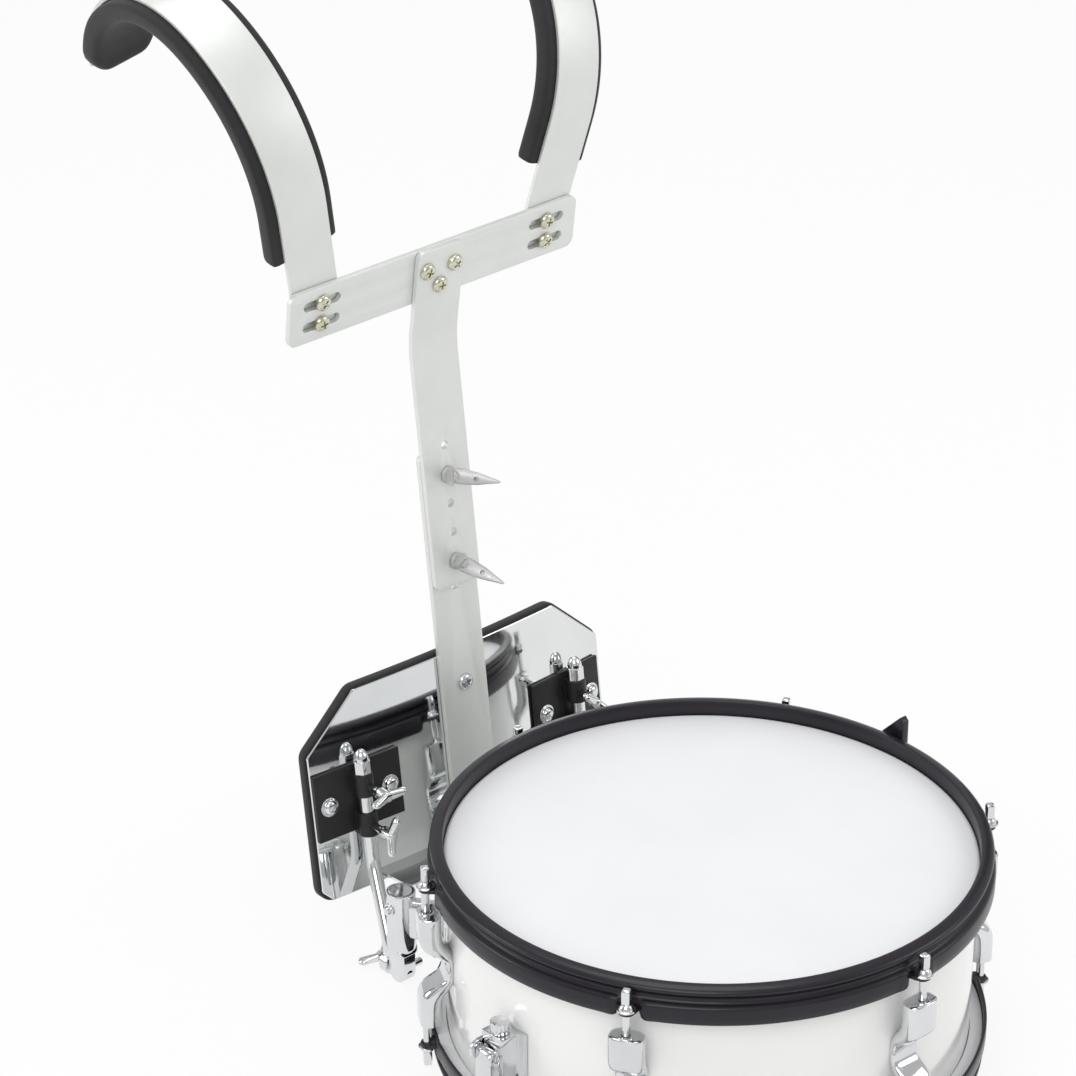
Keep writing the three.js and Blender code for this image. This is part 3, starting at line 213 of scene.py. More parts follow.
def polished_material():
    """Polished plate with fine streaks. A constant slope in its height, of about 6 degrees, stands for an
    assumed dish of the real sheet and turns what it mirrors. The mesh has no such slope."""
    made, link, shader, new = nodes_of("polished_plate")
    shader.inputs["Metallic"].default_value = 1.0
    vector = coordinates(link, new, (1, 1, 0.04))
    streaks = noise(link, new, vector, 420.0, 5.0, 0.6)
    wide = noise(link, new, coordinates(link, new), 16.0, 3.0)
    colour = tinted(link, new, wide, (0.72, 0.735, 0.73), (0.77, 0.785, 0.78))
    link(colour, shader.inputs["Base Color"])
    link(ranged(link, new, streaks, 0.03, 0.07), shader.inputs["Roughness"])
    place = new("ShaderNodeTexCoord")
    slope = new("ShaderNodeVectorMath", operation="DOT_PRODUCT")
    slope.inputs[1].default_value = (0.055, 0, -0.09)
    link(place.outputs["Object"], slope.inputs[0])
    height = new("ShaderNodeMath", operation="MULTIPLY_ADD")
    height.inputs[1].default_value = 0.000003
    link(streaks, height.inputs[0])
    link(slope.outputs["Value"], height.inputs[2])
    bumped(link, new, shader, height.outputs["Value"], 1.0, 1.0)
    return made


polished = polished_material()


# Meshes
def tf(made, matrix):
    """Moves a made shape."""
    points, faces = made
    return [matrix @ Vector(p) for p in points], faces


def move(x, y, z):
    """Matrix of a shift."""
    return Matrix.Translation((x, y, z))


def spin(angle, axis):
    """Matrix of a turn about an axis."""
    return Matrix.Rotation(angle, 4, axis)


face_on = spin(PI / 2, "X")  # turns what is drawn along +Z to point along -Y


def around(degrees):
    """Frame of what is drawn along +X and set at an angle round the drum, from the front towards +X."""
    return spin(math.radians(degrees - 90), "Z")


def full_turn(sides):
    """Angles of a full turn, in equal steps."""
    return [2 * PI * k / sides for k in range(sides)]


def polar(radius, angle, z):
    """Place at a radius and an angle about Z."""
    return Vector((radius * math.cos(angle), radius * math.sin(angle), z))


def rounded_rise(distance, reach):
    """Quarter-round rise from 0 at an edge to 1 at a reach from it."""
    return math.sqrt(max(0.0, 1 - (1 - min(distance / reach, 1)) ** 2))


def merge(parts):
    """Several made shapes as one."""
    points, faces = [], []
    for p, f in parts:
        base = len(points)
        points += [Vector(v) for v in p]
        faces += [tuple(i + base for i in face) for face in f]
    return points, faces


def loft(rings, closed_path=False, caps=True):
    """Skin over rings of equally many places, with both ends closed or left open, or joined into a loop."""
    count = len(rings[0])
    points = [Vector(p) for ring in rings for p in ring]
    faces = []
    last = len(rings) if closed_path else len(rings) - 1
    for i in range(last):
        a, b = i * count, ((i + 1) % len(rings)) * count
        for k in range(count):
            n = (k + 1) % count
            faces.append((a + k, a + n, b + n, b + k))
    if caps and not closed_path:
        faces.append(tuple(reversed(range(count))))
        faces.append(tuple(range(last * count, last * count + count)))
    return points, faces


def lathe(profile, sides):
    """Revolves [radius, height] places about Z. One that starts on the axis also ends on it."""
    open_ends = profile[0][0] < 1e-6
    inner = profile[1:-1] if open_ends else profile
    count = len(inner)
    points = [polar(r, a, z) for a in full_turn(sides) for r, z in inner]
    faces = []
    span = count - 1 if open_ends else count
    for i in range(sides):
        a, b = i * count, ((i + 1) % sides) * count
        for k in range(span):
            n = (k + 1) % count
            faces.append((a + k, b + k, b + n, a + n))
    if open_ends:
        for end, k in ((profile[0], 0), (profile[-1], count - 1)):
            pole = len(points)
            points.append(Vector((0, 0, end[1])))
            for i in range(sides):
                a, b = i * count + k, ((i + 1) % sides) * count + k
                faces.append((pole, b, a) if k == 0 else (pole, a, b))
    return points, faces


def curve_between(a, b, c, steps=8):
    """Places on the curve from a to c that b pulls."""
    shares = [k / steps for k in range(steps + 1)]
    return [a * (1 - t) ** 2 + b * (2 * t * (1 - t)) + c * t ** 2 for t in shares]


def softened(outline, radius, steps=3):
    """Rounds the corners of an outline of [x, y] places."""
    made = []
    for i, place in enumerate(outline):
        p = Vector(place)
        da, db = Vector(outline[i - 1]) - p, Vector(outline[(i + 1) % len(outline)]) - p
        r = min(radius, da.length * 0.45, db.length * 0.45)
        made += curve_between(p + da.normalized() * r, p, p + db.normalized() * r, steps)
    return [(v.x, v.y) for v in made]


def prism(outline, low, high):
    """Extrudes an outline drawn in X and Y along Z."""
    return loft([[Vector((x, y, z)) for x, y in outline] for z in (low, high)])


def circle(x, z, radius, sides=32):
    """Outline of a circle, or of a regular shape with a few sides."""
    return [(x + radius * math.cos(a), z + radius * math.sin(a)) for a in full_turn(sides)]


def domed(radius, base, tall, steps):
    """Profile of a dome, from its foot to just short of its top."""
    arc = [PI / 2 * k / steps for k in range(1, steps)]
    return [(radius * math.cos(a), base + tall * math.sin(a)) for a in arc]


def rounded_rect(width, height, corner, steps=5):
    """Outline of a rectangle with round corners, about its middle."""
    x, y = width / 2 - corner, height / 2 - corner
    places = []
    for cx, cy, start in ((x, y, 0), (-x, y, 90), (-x, -y, 180), (x, -y, 270)):
        for k in range(steps + 1):
            a = math.radians(start + 90 * k / steps)
            places.append((cx + corner * math.cos(a), cy + corner * math.sin(a)))
    return places


def tube(path, radius, sides):
    """Round tube along a path."""
    rings = []
    for i, p in enumerate(path):
        way = (path[min(i + 1, len(path) - 1)] - path[max(i - 1, 0)]).normalized()
        u = Vector((1, 0, 0)) - way * way.x
        u.normalize()
        v = way.cross(u)
        rings.append([p + (u * math.cos(a) + v * math.sin(a)) * radius for a in full_turn(sides)])
    return loft(rings)


def mesh_object(name, made):
    """Object from points in millimetres, the faces of each shell turned outwards."""
    points, faces = made
    mesh = bpy.data.meshes.new(name)
    mesh.from_pydata([tuple(Vector(p) * MM) for p in points], [], faces)
    work = bmesh.new()
    work.from_mesh(mesh)
    bmesh.ops.recalc_face_normals(work, faces=work.faces)
    work.to_mesh(mesh)
    work.free()
    obj = bpy.data.objects.new(name, mesh)
    scene.collection.objects.link(obj)
    return obj


def bevelled(obj, width, segments, sharp):
    """Bevels the edges that are sharper than an angle in degrees."""
    edge = obj.modifiers.new("edges", "BEVEL")
    edge.width = width * MM
    edge.segments = segments
    edge.limit_method = "ANGLE"
    edge.angle_limit = math.radians(sharp)


def shaded(mesh, sharp=None):
    """Smooth shading, broken at the edges sharper than an angle if one is given."""
    mesh.polygons.foreach_set("use_smooth", [True] * len(mesh.polygons))
    if sharp:
        mesh.set_sharp_from_angle(angle=math.radians(sharp))


def piece(name, made, material, body, slot, replaces=(), bevel=0.0, sharp=40, subdivide=0):
    """One object from points in millimetres, riding on a body."""
    obj = mesh_object(name, made)
    obj.data.materials.append(material)
    if bevel > 0:
        bevelled(obj, bevel, 3, sharp)
    if subdivide:
        smooth = obj.modifiers.new("smooth", "SUBSURF")
        smooth.levels = smooth.render_levels = subdivide
    shaded(obj.data, None if bevel > 0 or subdivide else sharp)
    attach(obj, body)
    if replaces:
        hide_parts(*replaces)
    return obj


def chromed(name, made, replaces=(), **finish):
    """A chrome piece of the drum."""
    return piece(name, made, chrome, "drum", "chrome", replaces, **finish)


def dress(node, material, bevel):
    """Gives a CAD node its material, smooth shading, and modifiers that weld it and soften its edges."""
    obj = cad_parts[node]
    obj.data.materials.clear()
    obj.data.materials.append(material)
    weld = obj.modifiers.new("weld", "WELD")
    weld.merge_threshold = 0.00001
    bevelled(obj, bevel, 2, 40)
    shaded(obj.data, 30)


# Drum
depth = 137.0
rod_circle = 192.9
lug_angles = [i * 60 for i in range(6)]
flip = move(0, 0, -depth) @ spin(PI, "X")

shell_wall = softened([(176.8, -2.8), (174.2, -1.0), (172.6, -1.0), (169.8, -3.8),
                       (169.8, -133.2), (172.6, -136.0), (174.2, -136.0), (176.8, -134.2)], 1.2)
piece("shell", lathe(shell_wall, 192), lacquer, "drum", "shell", ["drum_shell"], sharp=50)

head_profile = [(0, -0.6), (60, -0.6), (120, -0.6), (171, -0.6), (174.3, -1.4), (177.1, -3.2), (177.1, -9.6),
                (184.9, -9.6), (185.7, -8.8), (185.7, -5.4), (184.9, -4.6), (178.6, -4.6), (177.7, -4.0),
                (177.7, -1.9), (176.9, -0.75), (174.7, 0.0), (120, 0.0), (60, 0.0), (0, 0.0)]
head_made = lathe(head_profile, 192)
piece("batter_film", head_made, head_film, "drum", "head", ["batter_head"], sharp=50)
piece("snare_film", tf(head_made, flip), head_film, "drum", "head", ["snare_head"], sharp=50)


def smoothstep(t):
    """Soft rise from 0 to 1."""
    t = max(0.0, min(1.0, t))
    return t * t * (3 - 2 * t)


def nearest(angle, others):
    """Smallest turn from an angle to one of some others."""
    return min(abs(math.remainder(angle - other, 2 * PI)) for other in others)


# Outer wall of the hoops from the rolled rim down to the step, as [radius, height]
rim_wall = ((183.2, 9.75), (185.3, 9.0), (186.6, 7.9), (186.9, 6.7), (186.5, 5.6), (185.4, 4.7), (184.2, 3.8),
            (183.4, 2.4), (183.3, 0.6), (184.0, -0.9), (185.5, -1.7))


def hoop_ring(gates):
    """Pressed hoop: a rolled rim, an upright wall, a step and a skirt that ends in a rounded lip beside each
    rod. Gates cut the wall down where the snare ribbons pass."""
    arc_radius, gate_radius, half_gate = 190.0, 180.0, 15.6
    rings = []
    for a in full_turn(720):
        away = nearest(a, [math.radians(g - 90) for g in lug_angles]) * arc_radius
        skirt = rounded_rise(away - 6.6, 5.0)
        curl = math.exp(-((away - 12.5) / 3.5) ** 2) * 0.5
        low = -9.7 - 5.6 * skirt
        out = 186.4 + 2.0 * math.sqrt(skirt) + curl
        top, outer = 10.4, rim_wall
        if gates and nearest(a, (0, PI)) * gate_radius < half_gate:
            top = 0.4
            outer = [(183.4 + 0.2 * k, min(z, 0.3 - 0.2 * k)) for k, (_, z) in enumerate(rim_wall)]
        section = [
            (178.0, -4.3), (178.0, min(top - 0.7, 9.6)), (178.5, top - 0.15), (179.3, top),
            (180.6, top - 0.05), *outer, (out - 1.3, -2.3), (out - 0.35, -3.3), (out, -4.8),
            (out + 0.05 + 0.5 * curl, (low - 5) / 2), (out + 0.3 * curl, low + 1.0), (out - 0.5, low + 0.2),
            (out - 1.2, low), (out - 2.0, low + 0.3), (out - 2.35, low + 1.2), (min(out - 2.4, 186.1), -5.6),
            (185.6, -4.5), (184.6, -4.3),
        ]
        rings.append([polar(r, a, z) for r, z in section])
    return loft(rings, closed_path=True)


def ear():
    """Tab under a rod's washer, with a soft outline."""
    outline = [(185.0, -7.6), (191.5, -6.2)]
    for k in range(9):
        a = -PI / 2 + PI * k / 8
        outline.append((192.4 + 5.2 * math.cos(a), 5.6 * math.sin(a)))
    outline += [(191.5, 6.2), (185.0, 7.6)]
    return prism(outline, -9.0, -6.3)


for name, gates, matrix, node in (("top_rim", False, Matrix.Identity(4), "top_hoop"),
                                  ("bottom_rim", True, flip, "bottom_hoop")):
    piece(name, tf(hoop_ring(gates), matrix), hoop_black, "drum", "hoop", [node], sharp=60)
    ears = merge([tf(ear(), matrix @ around(g)) for g in lug_angles])
    piece(name + "_ears", ears, hoop_black, "drum", "hoop", bevel=0.9, sharp=35)


def rod_made():
    """Tension rod with its washer, cone and square head."""
    shank = lathe([(0, -40), (2.3, -40), (2.8, -39.4), (2.8, -6.3), (5.9, -6.3), (6.3, -6.0), (6.3, -5.4),
                   (5.9, -5.1), (5.0, -5.0), (4.75, -4.0), (4.1, -2.7), (3.3, -1.9), (0, -1.9)], 28)
    rings = []
    for z, half, corner in ((-2.6, 2.5, 1.6), (-1.2, 2.55, 1.1), (-0.4, 2.8, 0.8), (7.6, 2.75, 0.8),
                            (8.7, 2.55, 1.0), (9.2, 2.0, 1.1), (9.3, 1.2, 0.9)):
        rings.append([Vector((x, y, z)) for x, y in rounded_rect(2 * half, 2 * half, corner, 4)])
    return tf(merge([shank, loft(rings)]), move(rod_circle, 0, 0))


rods = rod_made()
for i, g in enumerate(lug_angles, 1):
    chromed(f"top_rod_{i}", tf(rods, around(g)), [f"top_tension_rod_{i}"])
    chromed(f"bottom_rod_{i}", tf(rods, flip @ around(180 - g)), [f"bottom_tension_rod_{i}"])


def lug_made():
    """Lug: a cup whose arm curves back to a foot on the shell, the same upside down, and a bridge."""
    rings = []
    for z, r0, r1, width, corner in (
        (-26.0, 186.0, 196.0, 17.0, 3.4), (-26.1, 184.4, 197.4, 20.6, 4.6), (-26.8, 183.6, 198.3, 23.0, 5.8),
        (-28.0, 183.5, 198.5, 23.8, 6.4), (-34.0, 183.5, 198.5, 24.0, 6.6), (-41.0, 183.4, 198.5, 24.0, 6.6),
        (-46.0, 182.9, 198.2, 24.0, 6.6), (-49.5, 181.6, 197.1, 23.8, 6.4), (-52.5, 179.4, 195.0, 23.4, 6.2),
        (-55.0, 177.4, 192.0, 23.0, 6.0), (-57.0, 176.6, 188.6, 22.6, 5.2), (-58.8, 176.2, 185.2, 22.2, 3.8),
        (-60.4, 176.0, 182.6, 22.0, 2.6), (-64.0, 176.0, 181.2, 22.0, 2.2), (-67.4, 176.0, 180.9, 21.6, 2.0),
        (-68.7, 176.0, 180.2, 20.6, 1.8), (-69.0, 176.0, 179.4, 19.0, 1.4),
    ):
        corner = min(corner, (r1 - r0) / 2 - 0.05)
        places = rounded_rect(r1 - r0, width, corner, 6)
        rings.append([Vector(((r0 + r1) / 2 + x, y, z)) for x, y in places])
    ring_top = lathe([(3.4, -26.5), (3.4, -25.2), (4.9, -25.2), (5.3, -25.6), (5.3, -26.5)], 24)
    upper = merge([loft(rings[::-1]), tf(ring_top, move(rod_circle, 0, 0))])
    bridge = [(176.0, -3), (179.6, -3), (180.6, -2), (180.6, 2), (179.6, 3), (176.0, 3)]
    return merge([upper, tf(upper, flip), prism(bridge, -71.0, -66.0)])


lugs = lug_made()
for i, g in enumerate(lug_angles, 1):
    chromed(f"lug_casting_{i}", tf(lugs, around(g)), [f"lug_{i}"])

# Snare wires: coils between two solder plates, and a ribbon at each end
wires, windings, steps = 10, 110, 8
wire_reach, half_width, wire_height = 133, 19.1, -138.0
coil_radius, wire_radius = 0.62, 0.24
coils = []
for i in range(wires):
    middle_y = -half_width + 2 * half_width * i / (wires - 1)
    rings = []
    for k in range(windings * steps + 1):
        a = 2 * PI * k / steps
        y, z = middle_y + coil_radius * math.cos(a), wire_height + coil_radius * math.sin(a)
        p = Vector((-wire_reach + 2 * wire_reach * k / (windings * steps), y, z))
        n = Vector((0, math.cos(a), math.sin(a)))
        x = Vector((1, 0, 0))
        rings.append([p + n * wire_radius, p + x * wire_radius, p - n * wire_radius, p - x * wire_radius])
    coils.append(loft(rings))
for side, ribbon_top in ((-1, -120.3), (1, -117.3)):
    x0, x1 = sorted((side * 132, side * 146))
    coils.append(prism([(x0, -20), (x1, -20), (x1, 20), (x0, 20)], -138.7, -137.35))
    outline = softened([(139, -138.1), (189.5, -138.1), (189.5, ribbon_top), (188.7, ribbon_top),
                        (188.7, -137.3), (139, -137.3)], 0.9)
    coils.append(loft([[Vector((side * x, y, z)) for x, z in outline] for y in (-12, 12)]))
piece("snare_coils", merge(coils), bright_steel, "drum", "steel_wire", ["snare_wires"], sharp=50)

for node in ("strainer_body", "strainer_lever", "butt_plate"):
    dress(node, chrome, 0.5)
dress("strainer_knob", chrome, 0.2)
dress("hook_plate", hoop_black, 0.6)

# Carrier frames
carrier_lean = math.atan(0.13)
carrier = move(0, 250.4, 0) @ spin(-carrier_lean, "X")
lean = math.radians(8) + carrier_lean
mast_blend, mast_bend = 13.0, 276.0
run = 348.3 - mast_bend - 19.5
head_y = -4.6 - run * math.sin(lean)
head_z = mast_bend + 4 * math.tan(lean / 2) + run * math.cos(lean)
head_frame = carrier @ move(0, head_y, head_z) @ spin(lean, "X")
bend_radius = 1200.0
plate_middle = -28


def bent_place(s, y, z):
    """Place on the bend of the belly plate: s along it, y behind its front face, z up."""
    a = s / bend_radius
    r = bend_radius - y
    return Vector((r * math.sin(a), bend_radius - r * math.cos(a), z))


def plate_outline(border, corner):
    """Outline of the belly plate, with a border round it."""
    wide, top_wide, shoulder = 135 + border, 92.5 + border / 2, 8 + border / 2
    top, low, cut = 46 + border, -103 - border, 8.0
    outline = [(-wide + cut, low), (wide - cut, low), (wide, low + cut), (wide, shoulder), (top_wide, top),
               (-top_wide, top), (-wide, shoulder), (-wide, low + cut)]
    return softened(outline, corner, 4)


def sheet(border, near, far, corner, edge):
    """Bent sheet: rings of the outline, drawn in slightly at both faces, with faces cut along the bend."""
    outline = plate_outline(border, corner)
    dense = []
    for i, (x, z) in enumerate(outline):
        nx, nz = outline[(i + 1) % len(outline)]
        parts = max(1, int(abs(nx - x) // 6))
        for k in range(parts):
            dense.append((x + (nx - x) * k / parts, z + (nz - z) * k / parts))

    def ring(inset, y):
        """The outline at a depth, drawn in towards its middle."""
        places = []
        for x, z in dense:
            middle = Vector((0, plate_middle))
            d = Vector((x, z)) - middle
            d = d.normalized() * max(d.length - inset, 0)
            places.append(bent_place(middle.x + d.x, y, middle.y + d.y))
        return places

    rings = [ring(edge * 1.4, near), ring(edge * 0.4, near + edge * 0.3), ring(0, near + edge),
             ring(0, far - edge), ring(edge * 0.4, far - edge * 0.3), ring(edge * 1.4, far)]
    points, faces = loft(rings, caps=False)
    count = len(dense)
    low_side = sorted((k for k in range(count) if dense[k][1] < plate_middle), key=lambda k: dense[k][0])
    high_side = sorted((k for k in range(count) if dense[k][1] >= plate_middle), key=lambda k: dense[k][0])
    for first, turn in ((0, True), ((len(rings) - 1) * count, False)):
        a, b = 0, 0
        while a < len(low_side) - 1 or b < len(high_side) - 1:
            la, hb = first + low_side[a], first + high_side[b]
            go_low = b >= len(high_side) - 1 or (
                a < len(low_side) - 1 and dense[low_side[a + 1]][0] <= dense[high_side[b + 1]][0])
            if go_low:
                tri = (la, first + low_side[a + 1], hb)
                a += 1
            else:
                tri = (la, first + high_side[b + 1], hb)
                b += 1
            faces.append(tri if turn else tri[::-1])
    return points, faces


flange_section = [(-24, -101.4), (-23.6, -101.0), (1.0, -101.0), (1.0, -103.0), (-23.6, -103.0),
                  (-24, -102.6)]
flange = loft([[bent_place(-80 + 160 * i / 24, y, z) for y, z in flange_section] for i in range(25)])
mirror = tf(merge([sheet(0, 0, 2.0, 1.5, 0.5), flange]), carrier)
piece("belly_mirror", mirror, polished, "carrier", "polished_aluminium", ["belly_plate"], sharp=8)
cushion = tf(sheet(2, 2.3, 10.3, 5, 1.6), carrier)
belly = piece("belly_cushion", cushion, foam, "carrier", "foam", ["belly_foam"])


def flat_plate(outline, holes, thickness, edge, matrix, bend=None, cuts=()):
    """Plate drawn in X and Z, front face on Y = 0, with soft edges, holes and a bend if a rule is given."""
    curve = bpy.data.curves.new("plate", "CURVE")
    curve.dimensions = "2D"
    curve.fill_mode = "BOTH"
    curve.extrude = thickness / 2 - edge
    curve.bevel_depth = edge
    curve.bevel_resolution = 2
    curve.offset = -edge
    for places in [outline] + list(holes):
        line = curve.splines.new("POLY")
        line.points.add(len(places) - 1)
        for point, (x, z) in zip(line.points, places):
            point.co = (x, z, 0, 1)
        line.use_cyclic_u = True
    holder = bpy.data.objects.new("plate", curve)
    scene.collection.objects.link(holder)
    bpy.context.view_layer.update()
    graph = bpy.context.evaluated_depsgraph_get()
    mesh = bpy.data.meshes.new_from_object(holder.evaluated_get(graph))
    bpy.data.objects.remove(holder)
    work = bmesh.new()
    work.from_mesh(mesh)
    bmesh.ops.remove_doubles(work, verts=work.verts, dist=0.001)
    for z in cuts:
        geometry = work.verts[:] + work.edges[:] + work.faces[:]
        bmesh.ops.bisect_plane(work, geom=geometry, dist=0.0001, plane_co=(0, z, 0), plane_no=(0, 1, 0))
    places = []
    for v in work.verts:
        x, z, y = v.co
        y = thickness / 2 - y
        if bend:
            y, z = bend(y, z)
        places.append(matrix @ Vector((x, y, z)))
    index = {v: i for i, v in enumerate(work.verts)}
    faces = [tuple(index[v] for v in f.verts) for f in work.faces]
    work.free()
    return places, faces


def shifted(path, x, z):
    """Moves an outline."""
    return [(a + x, b + z) for a, b in path]


def slot_path(x, z, across, tall):
    """Outline of a slot with round ends."""
    return shifted(rounded_rect(across, tall, min(across, tall) / 2 - 0.01, 8), x, z)


bend_arc = mast_blend / math.tan(lean / 2)


def mast_bend_rule(y, z):
    """Carries the flat mast round its bend, which leans forward."""
    start = mast_bend - mast_blend
    if z <= start:
        return y, z
    turn = min((z - start) / bend_arc, lean)
    past = z - start - turn * bend_arc
    return (-bend_arc * (1 - math.cos(turn)) + y * math.cos(turn) - past * math.sin(turn),
            start + bend_arc * math.sin(turn) + y * math.sin(turn) + past * math.cos(turn))


first_hole, hole_pitch = 114.5, 21.4
lower_front, upper_front, wing_front = -4.3, -8.6, -8.9
strap_reach, slot_row = 98.5, 7.8
bar_tilt, strap_tilt = math.radians(1.1), math.radians(13)
lower_plate = flat_plate(shifted(rounded_rect(40, 268, 4, 6), 0, 62), [slot_path(0, 141, 7, 98)], 4, 0.35,
                         carrier @ move(0, lower_front, 0))
piece("lower_mast_plate", lower_plate, satin, "carrier", "satin_aluminium", ["lower_mast"])
mast_holes = [circle(0, first_hole + hole_pitch * i, 3.0) for i in range(5)]
bend_cuts = [mast_bend - mast_blend + bend_arc * lean * k / 12 for k in range(13)]
upper_plate = flat_plate(shifted(rounded_rect(40, 251.1, 5, 6), 0, 222.55), mast_holes, 4, 0.35,
                         carrier @ move(0, upper_front, 0), mast_bend_rule, bend_cuts)
piece("upper_mast_plate", upper_plate, satin, "mast_top", "satin_aluminium", ["upper_mast"])
bar_frame = head_frame @ spin(-bar_tilt, "Y")
bar_slots = [slot_path(sx * strap_reach, sz * slot_row, 31, 7) for sx in (-1, 1) for sz in (-1, 1)]
bar_plate = flat_plate(rounded_rect(251, 39.5, 6.5, 8), bar_slots, 4, 0.4, bar_frame @ move(0, 0.3, 0))
piece("crossbar_plate", bar_plate, satin_bar, "mast_top", "satin_aluminium", ["crossbar"])


# Straps and pads
def strap_path(low, fine):
    """Side view of the strap: places and directions along its outer face."""
    places = [(0.0, low, 0.0), (0.0, 77.0, 0.0)]
    for radius, sweep in ((125.0, 68.0), (88.0, 108.0)):
        step = math.radians(sweep) / fine
        for _ in range(fine):
            y, z, a = places[-1]
            chord = 2 * radius * math.sin(step / 2)
            places.append((y + chord * math.sin(a + step / 2), z + chord * math.cos(a + step / 2), a + step))
    y, z, a = places[-1]
    places.append((y + 6 * math.sin(a), z + 6 * math.cos(a), a))
    return places


def along(places, sections):
    """Skin over sections that stand across a side view."""
    rings = []
    for (y, z, a), section in zip(places, sections):
        rings.append([Vector((x, y + d * math.cos(a), z - d * math.sin(a))) for x, d in section])
    return loft(rings)


def strap_made():
    """Bent flat bar of the strap, with soft edges."""
    places = strap_path(-15, 30)
    section = softened([(-19, 0), (19, 0), (19, 3), (-19, 3)], 0.7, 3)
    return along(places, [section] * len(places))


def pad_made():
    """Foam pad under the strap: full in the middle, rounded along its edges and at both ends."""
    places = strap_path(47, 44)
    lengths = [0.0]
    for (y0, z0, _), (y1, z1, _) in zip(places, places[1:]):
        lengths.append(lengths[-1] + math.hypot(y1 - y0, z1 - z0))
    # Extra stations near both ends carry the rounding.
    total = lengths[-1]
    wanted = sorted(set([0, 0.6, 1.5, 3, 5, 8] + [total - v for v in (0, 0.8, 2, 4.5, 8, 13, 19)] +
                        [total * k / 60 for k in range(2, 59)]))
    stations, sections = [], []
    for s in wanted:
        i = max(k for k, v in enumerate(lengths) if v <= s + 1e-9)
        i = min(i, len(places) - 2)
        t = (s - lengths[i]) / max(lengths[i + 1] - lengths[i], 1e-9)
        stations.append(tuple(p + (q - p) * t for p, q in zip(places[i], places[i + 1])))
        low_end = rounded_rise(s, 3.0)
        half = 53.0 * (0.97 + 0.03 * low_end) * (0.35 + 0.65 * rounded_rise(total - s, 20.0)) / 2
        thick = 15.6 * (0.9 + 0.1 * low_end) * (0.3 + 0.7 * rounded_rise(total - s, 5.0))
        ripple = 0.25 * math.sin(s * 0.11) + 0.15 * math.sin(s * 0.37 + 1.0)
        near, far = 3.3, 3.3 + thick
        right = [(half / 2, near), (half - 1.2, near), (half - 0.2, near + 1.6), (half, near + thick * 0.45),
                 (half - 0.5, near + thick * 0.75), (half - 2.4, far - 1.2), (half - 5.5, far - 0.25),
                 (half / 2, far + ripple * 0.4 - 0.3)]
        left = [(-x, d) for x, d in reversed(right)]
        sections.append([*left[-2:], (0, near), *right, (0, far + ripple * 0.5 - 0.3), *left[:-2]])
    return along(stations, sections)


pan_head = [(0, 0.0), (5.0, 0.0), (5.3, 0.25), (5.25, 1.1), (4.9, 1.9), (4.1, 2.6), (2.9, 3.05), (1.4, 3.25),
            (0, 3.3)]
cross = merge([prism([(-3.1, -0.75), (3.1, -0.75), (3.1, 0.75), (-3.1, 0.75)], 1.2, 5),
               prism([(-0.75, -3.1), (0.75, -3.1), (0.75, 3.1), (-0.75, 3.1)], 1.21, 5.01)])
eye_drill = prism(circle(0, 0, 1.7, 20), -1.1, 6)


def cut_out(obj, shape):
    """Cuts a shape out of a piece and takes the cutter away."""
    cutter = mesh_object("cutter", shape)
    cut = obj.modifiers.new("cut", "BOOLEAN")
    cut.operation = "DIFFERENCE"
    cut.solver = "EXACT"
    cut.use_self = True
    cut.object = cutter
    bpy.context.view_layer.update()
    graph = bpy.context.evaluated_depsgraph_get()
    fresh = bpy.data.meshes.new_from_object(obj.evaluated_get(graph))
    obj.modifiers.clear()
    obj.data = fresh
    shaded(fresh, 40)
    bpy.data.objects.remove(cutter)


def cross_screw(name, matrix, turn, shank, grow, material, body, slot, replaces=()):
    """Pan-head screw along -Y of a frame, with a cross recess that is turned by an angle."""
    head = lathe([(r * grow, z * grow) for r, z in pan_head], 32)
    stem = lathe([(0, -shank), (2.6, -shank), (2.6, 0.2), (0, 0.2)], 16)
    made = tf(tf(merge([head, stem]), face_on), matrix)
    screw = piece(name, made, material, body, slot, replaces)
    cut_out(screw, tf(cross, matrix @ face_on @ spin(turn, "Z")))


rise = strap_reach * math.sin(bar_tilt)
for side, word in SIDES:
    body = word + "_strap"
    strap_frame = head_frame @ move(side * strap_reach, 4.6, side * rise) @ spin(side * strap_tilt, "Y")
    piece(word + "_strap_band", tf(strap_made(), strap_frame), satin, body, "satin_aluminium",
          [word + "_shoulder_strap"])
    pad = piece(word + "_pad", tf(pad_made(), strap_frame), foam, body, "foam", [word + "_shoulder_pad"],
                subdivide=1)
    for j, row in enumerate((-1, 1), 1):
        matrix = bar_frame @ move(side * strap_reach, 0, row * slot_row)
        cross_screw(f"{word}_screw_{j}", matrix, 0.5 + 0.7 * j + side, 4, 1.1, zinc, body, "screw",
                    [f"{word}_strap_screw_{j}"])

for k, (x, z) in enumerate(((-12, 5), (12, 5), (0, -8)), 1):
    cross_screw(f"mast_screw_{k}", head_frame @ move(x, -4, z), 0.4 + 0.9 * k, 3.6, 1.15, zinc,
                "mast_top", "screw")
cross_screw("lower_mast_screw", carrier @ move(0, lower_front, 22), 0.3, 3.6, 1.15, bright_steel,
            "carrier", "satin_aluminium")


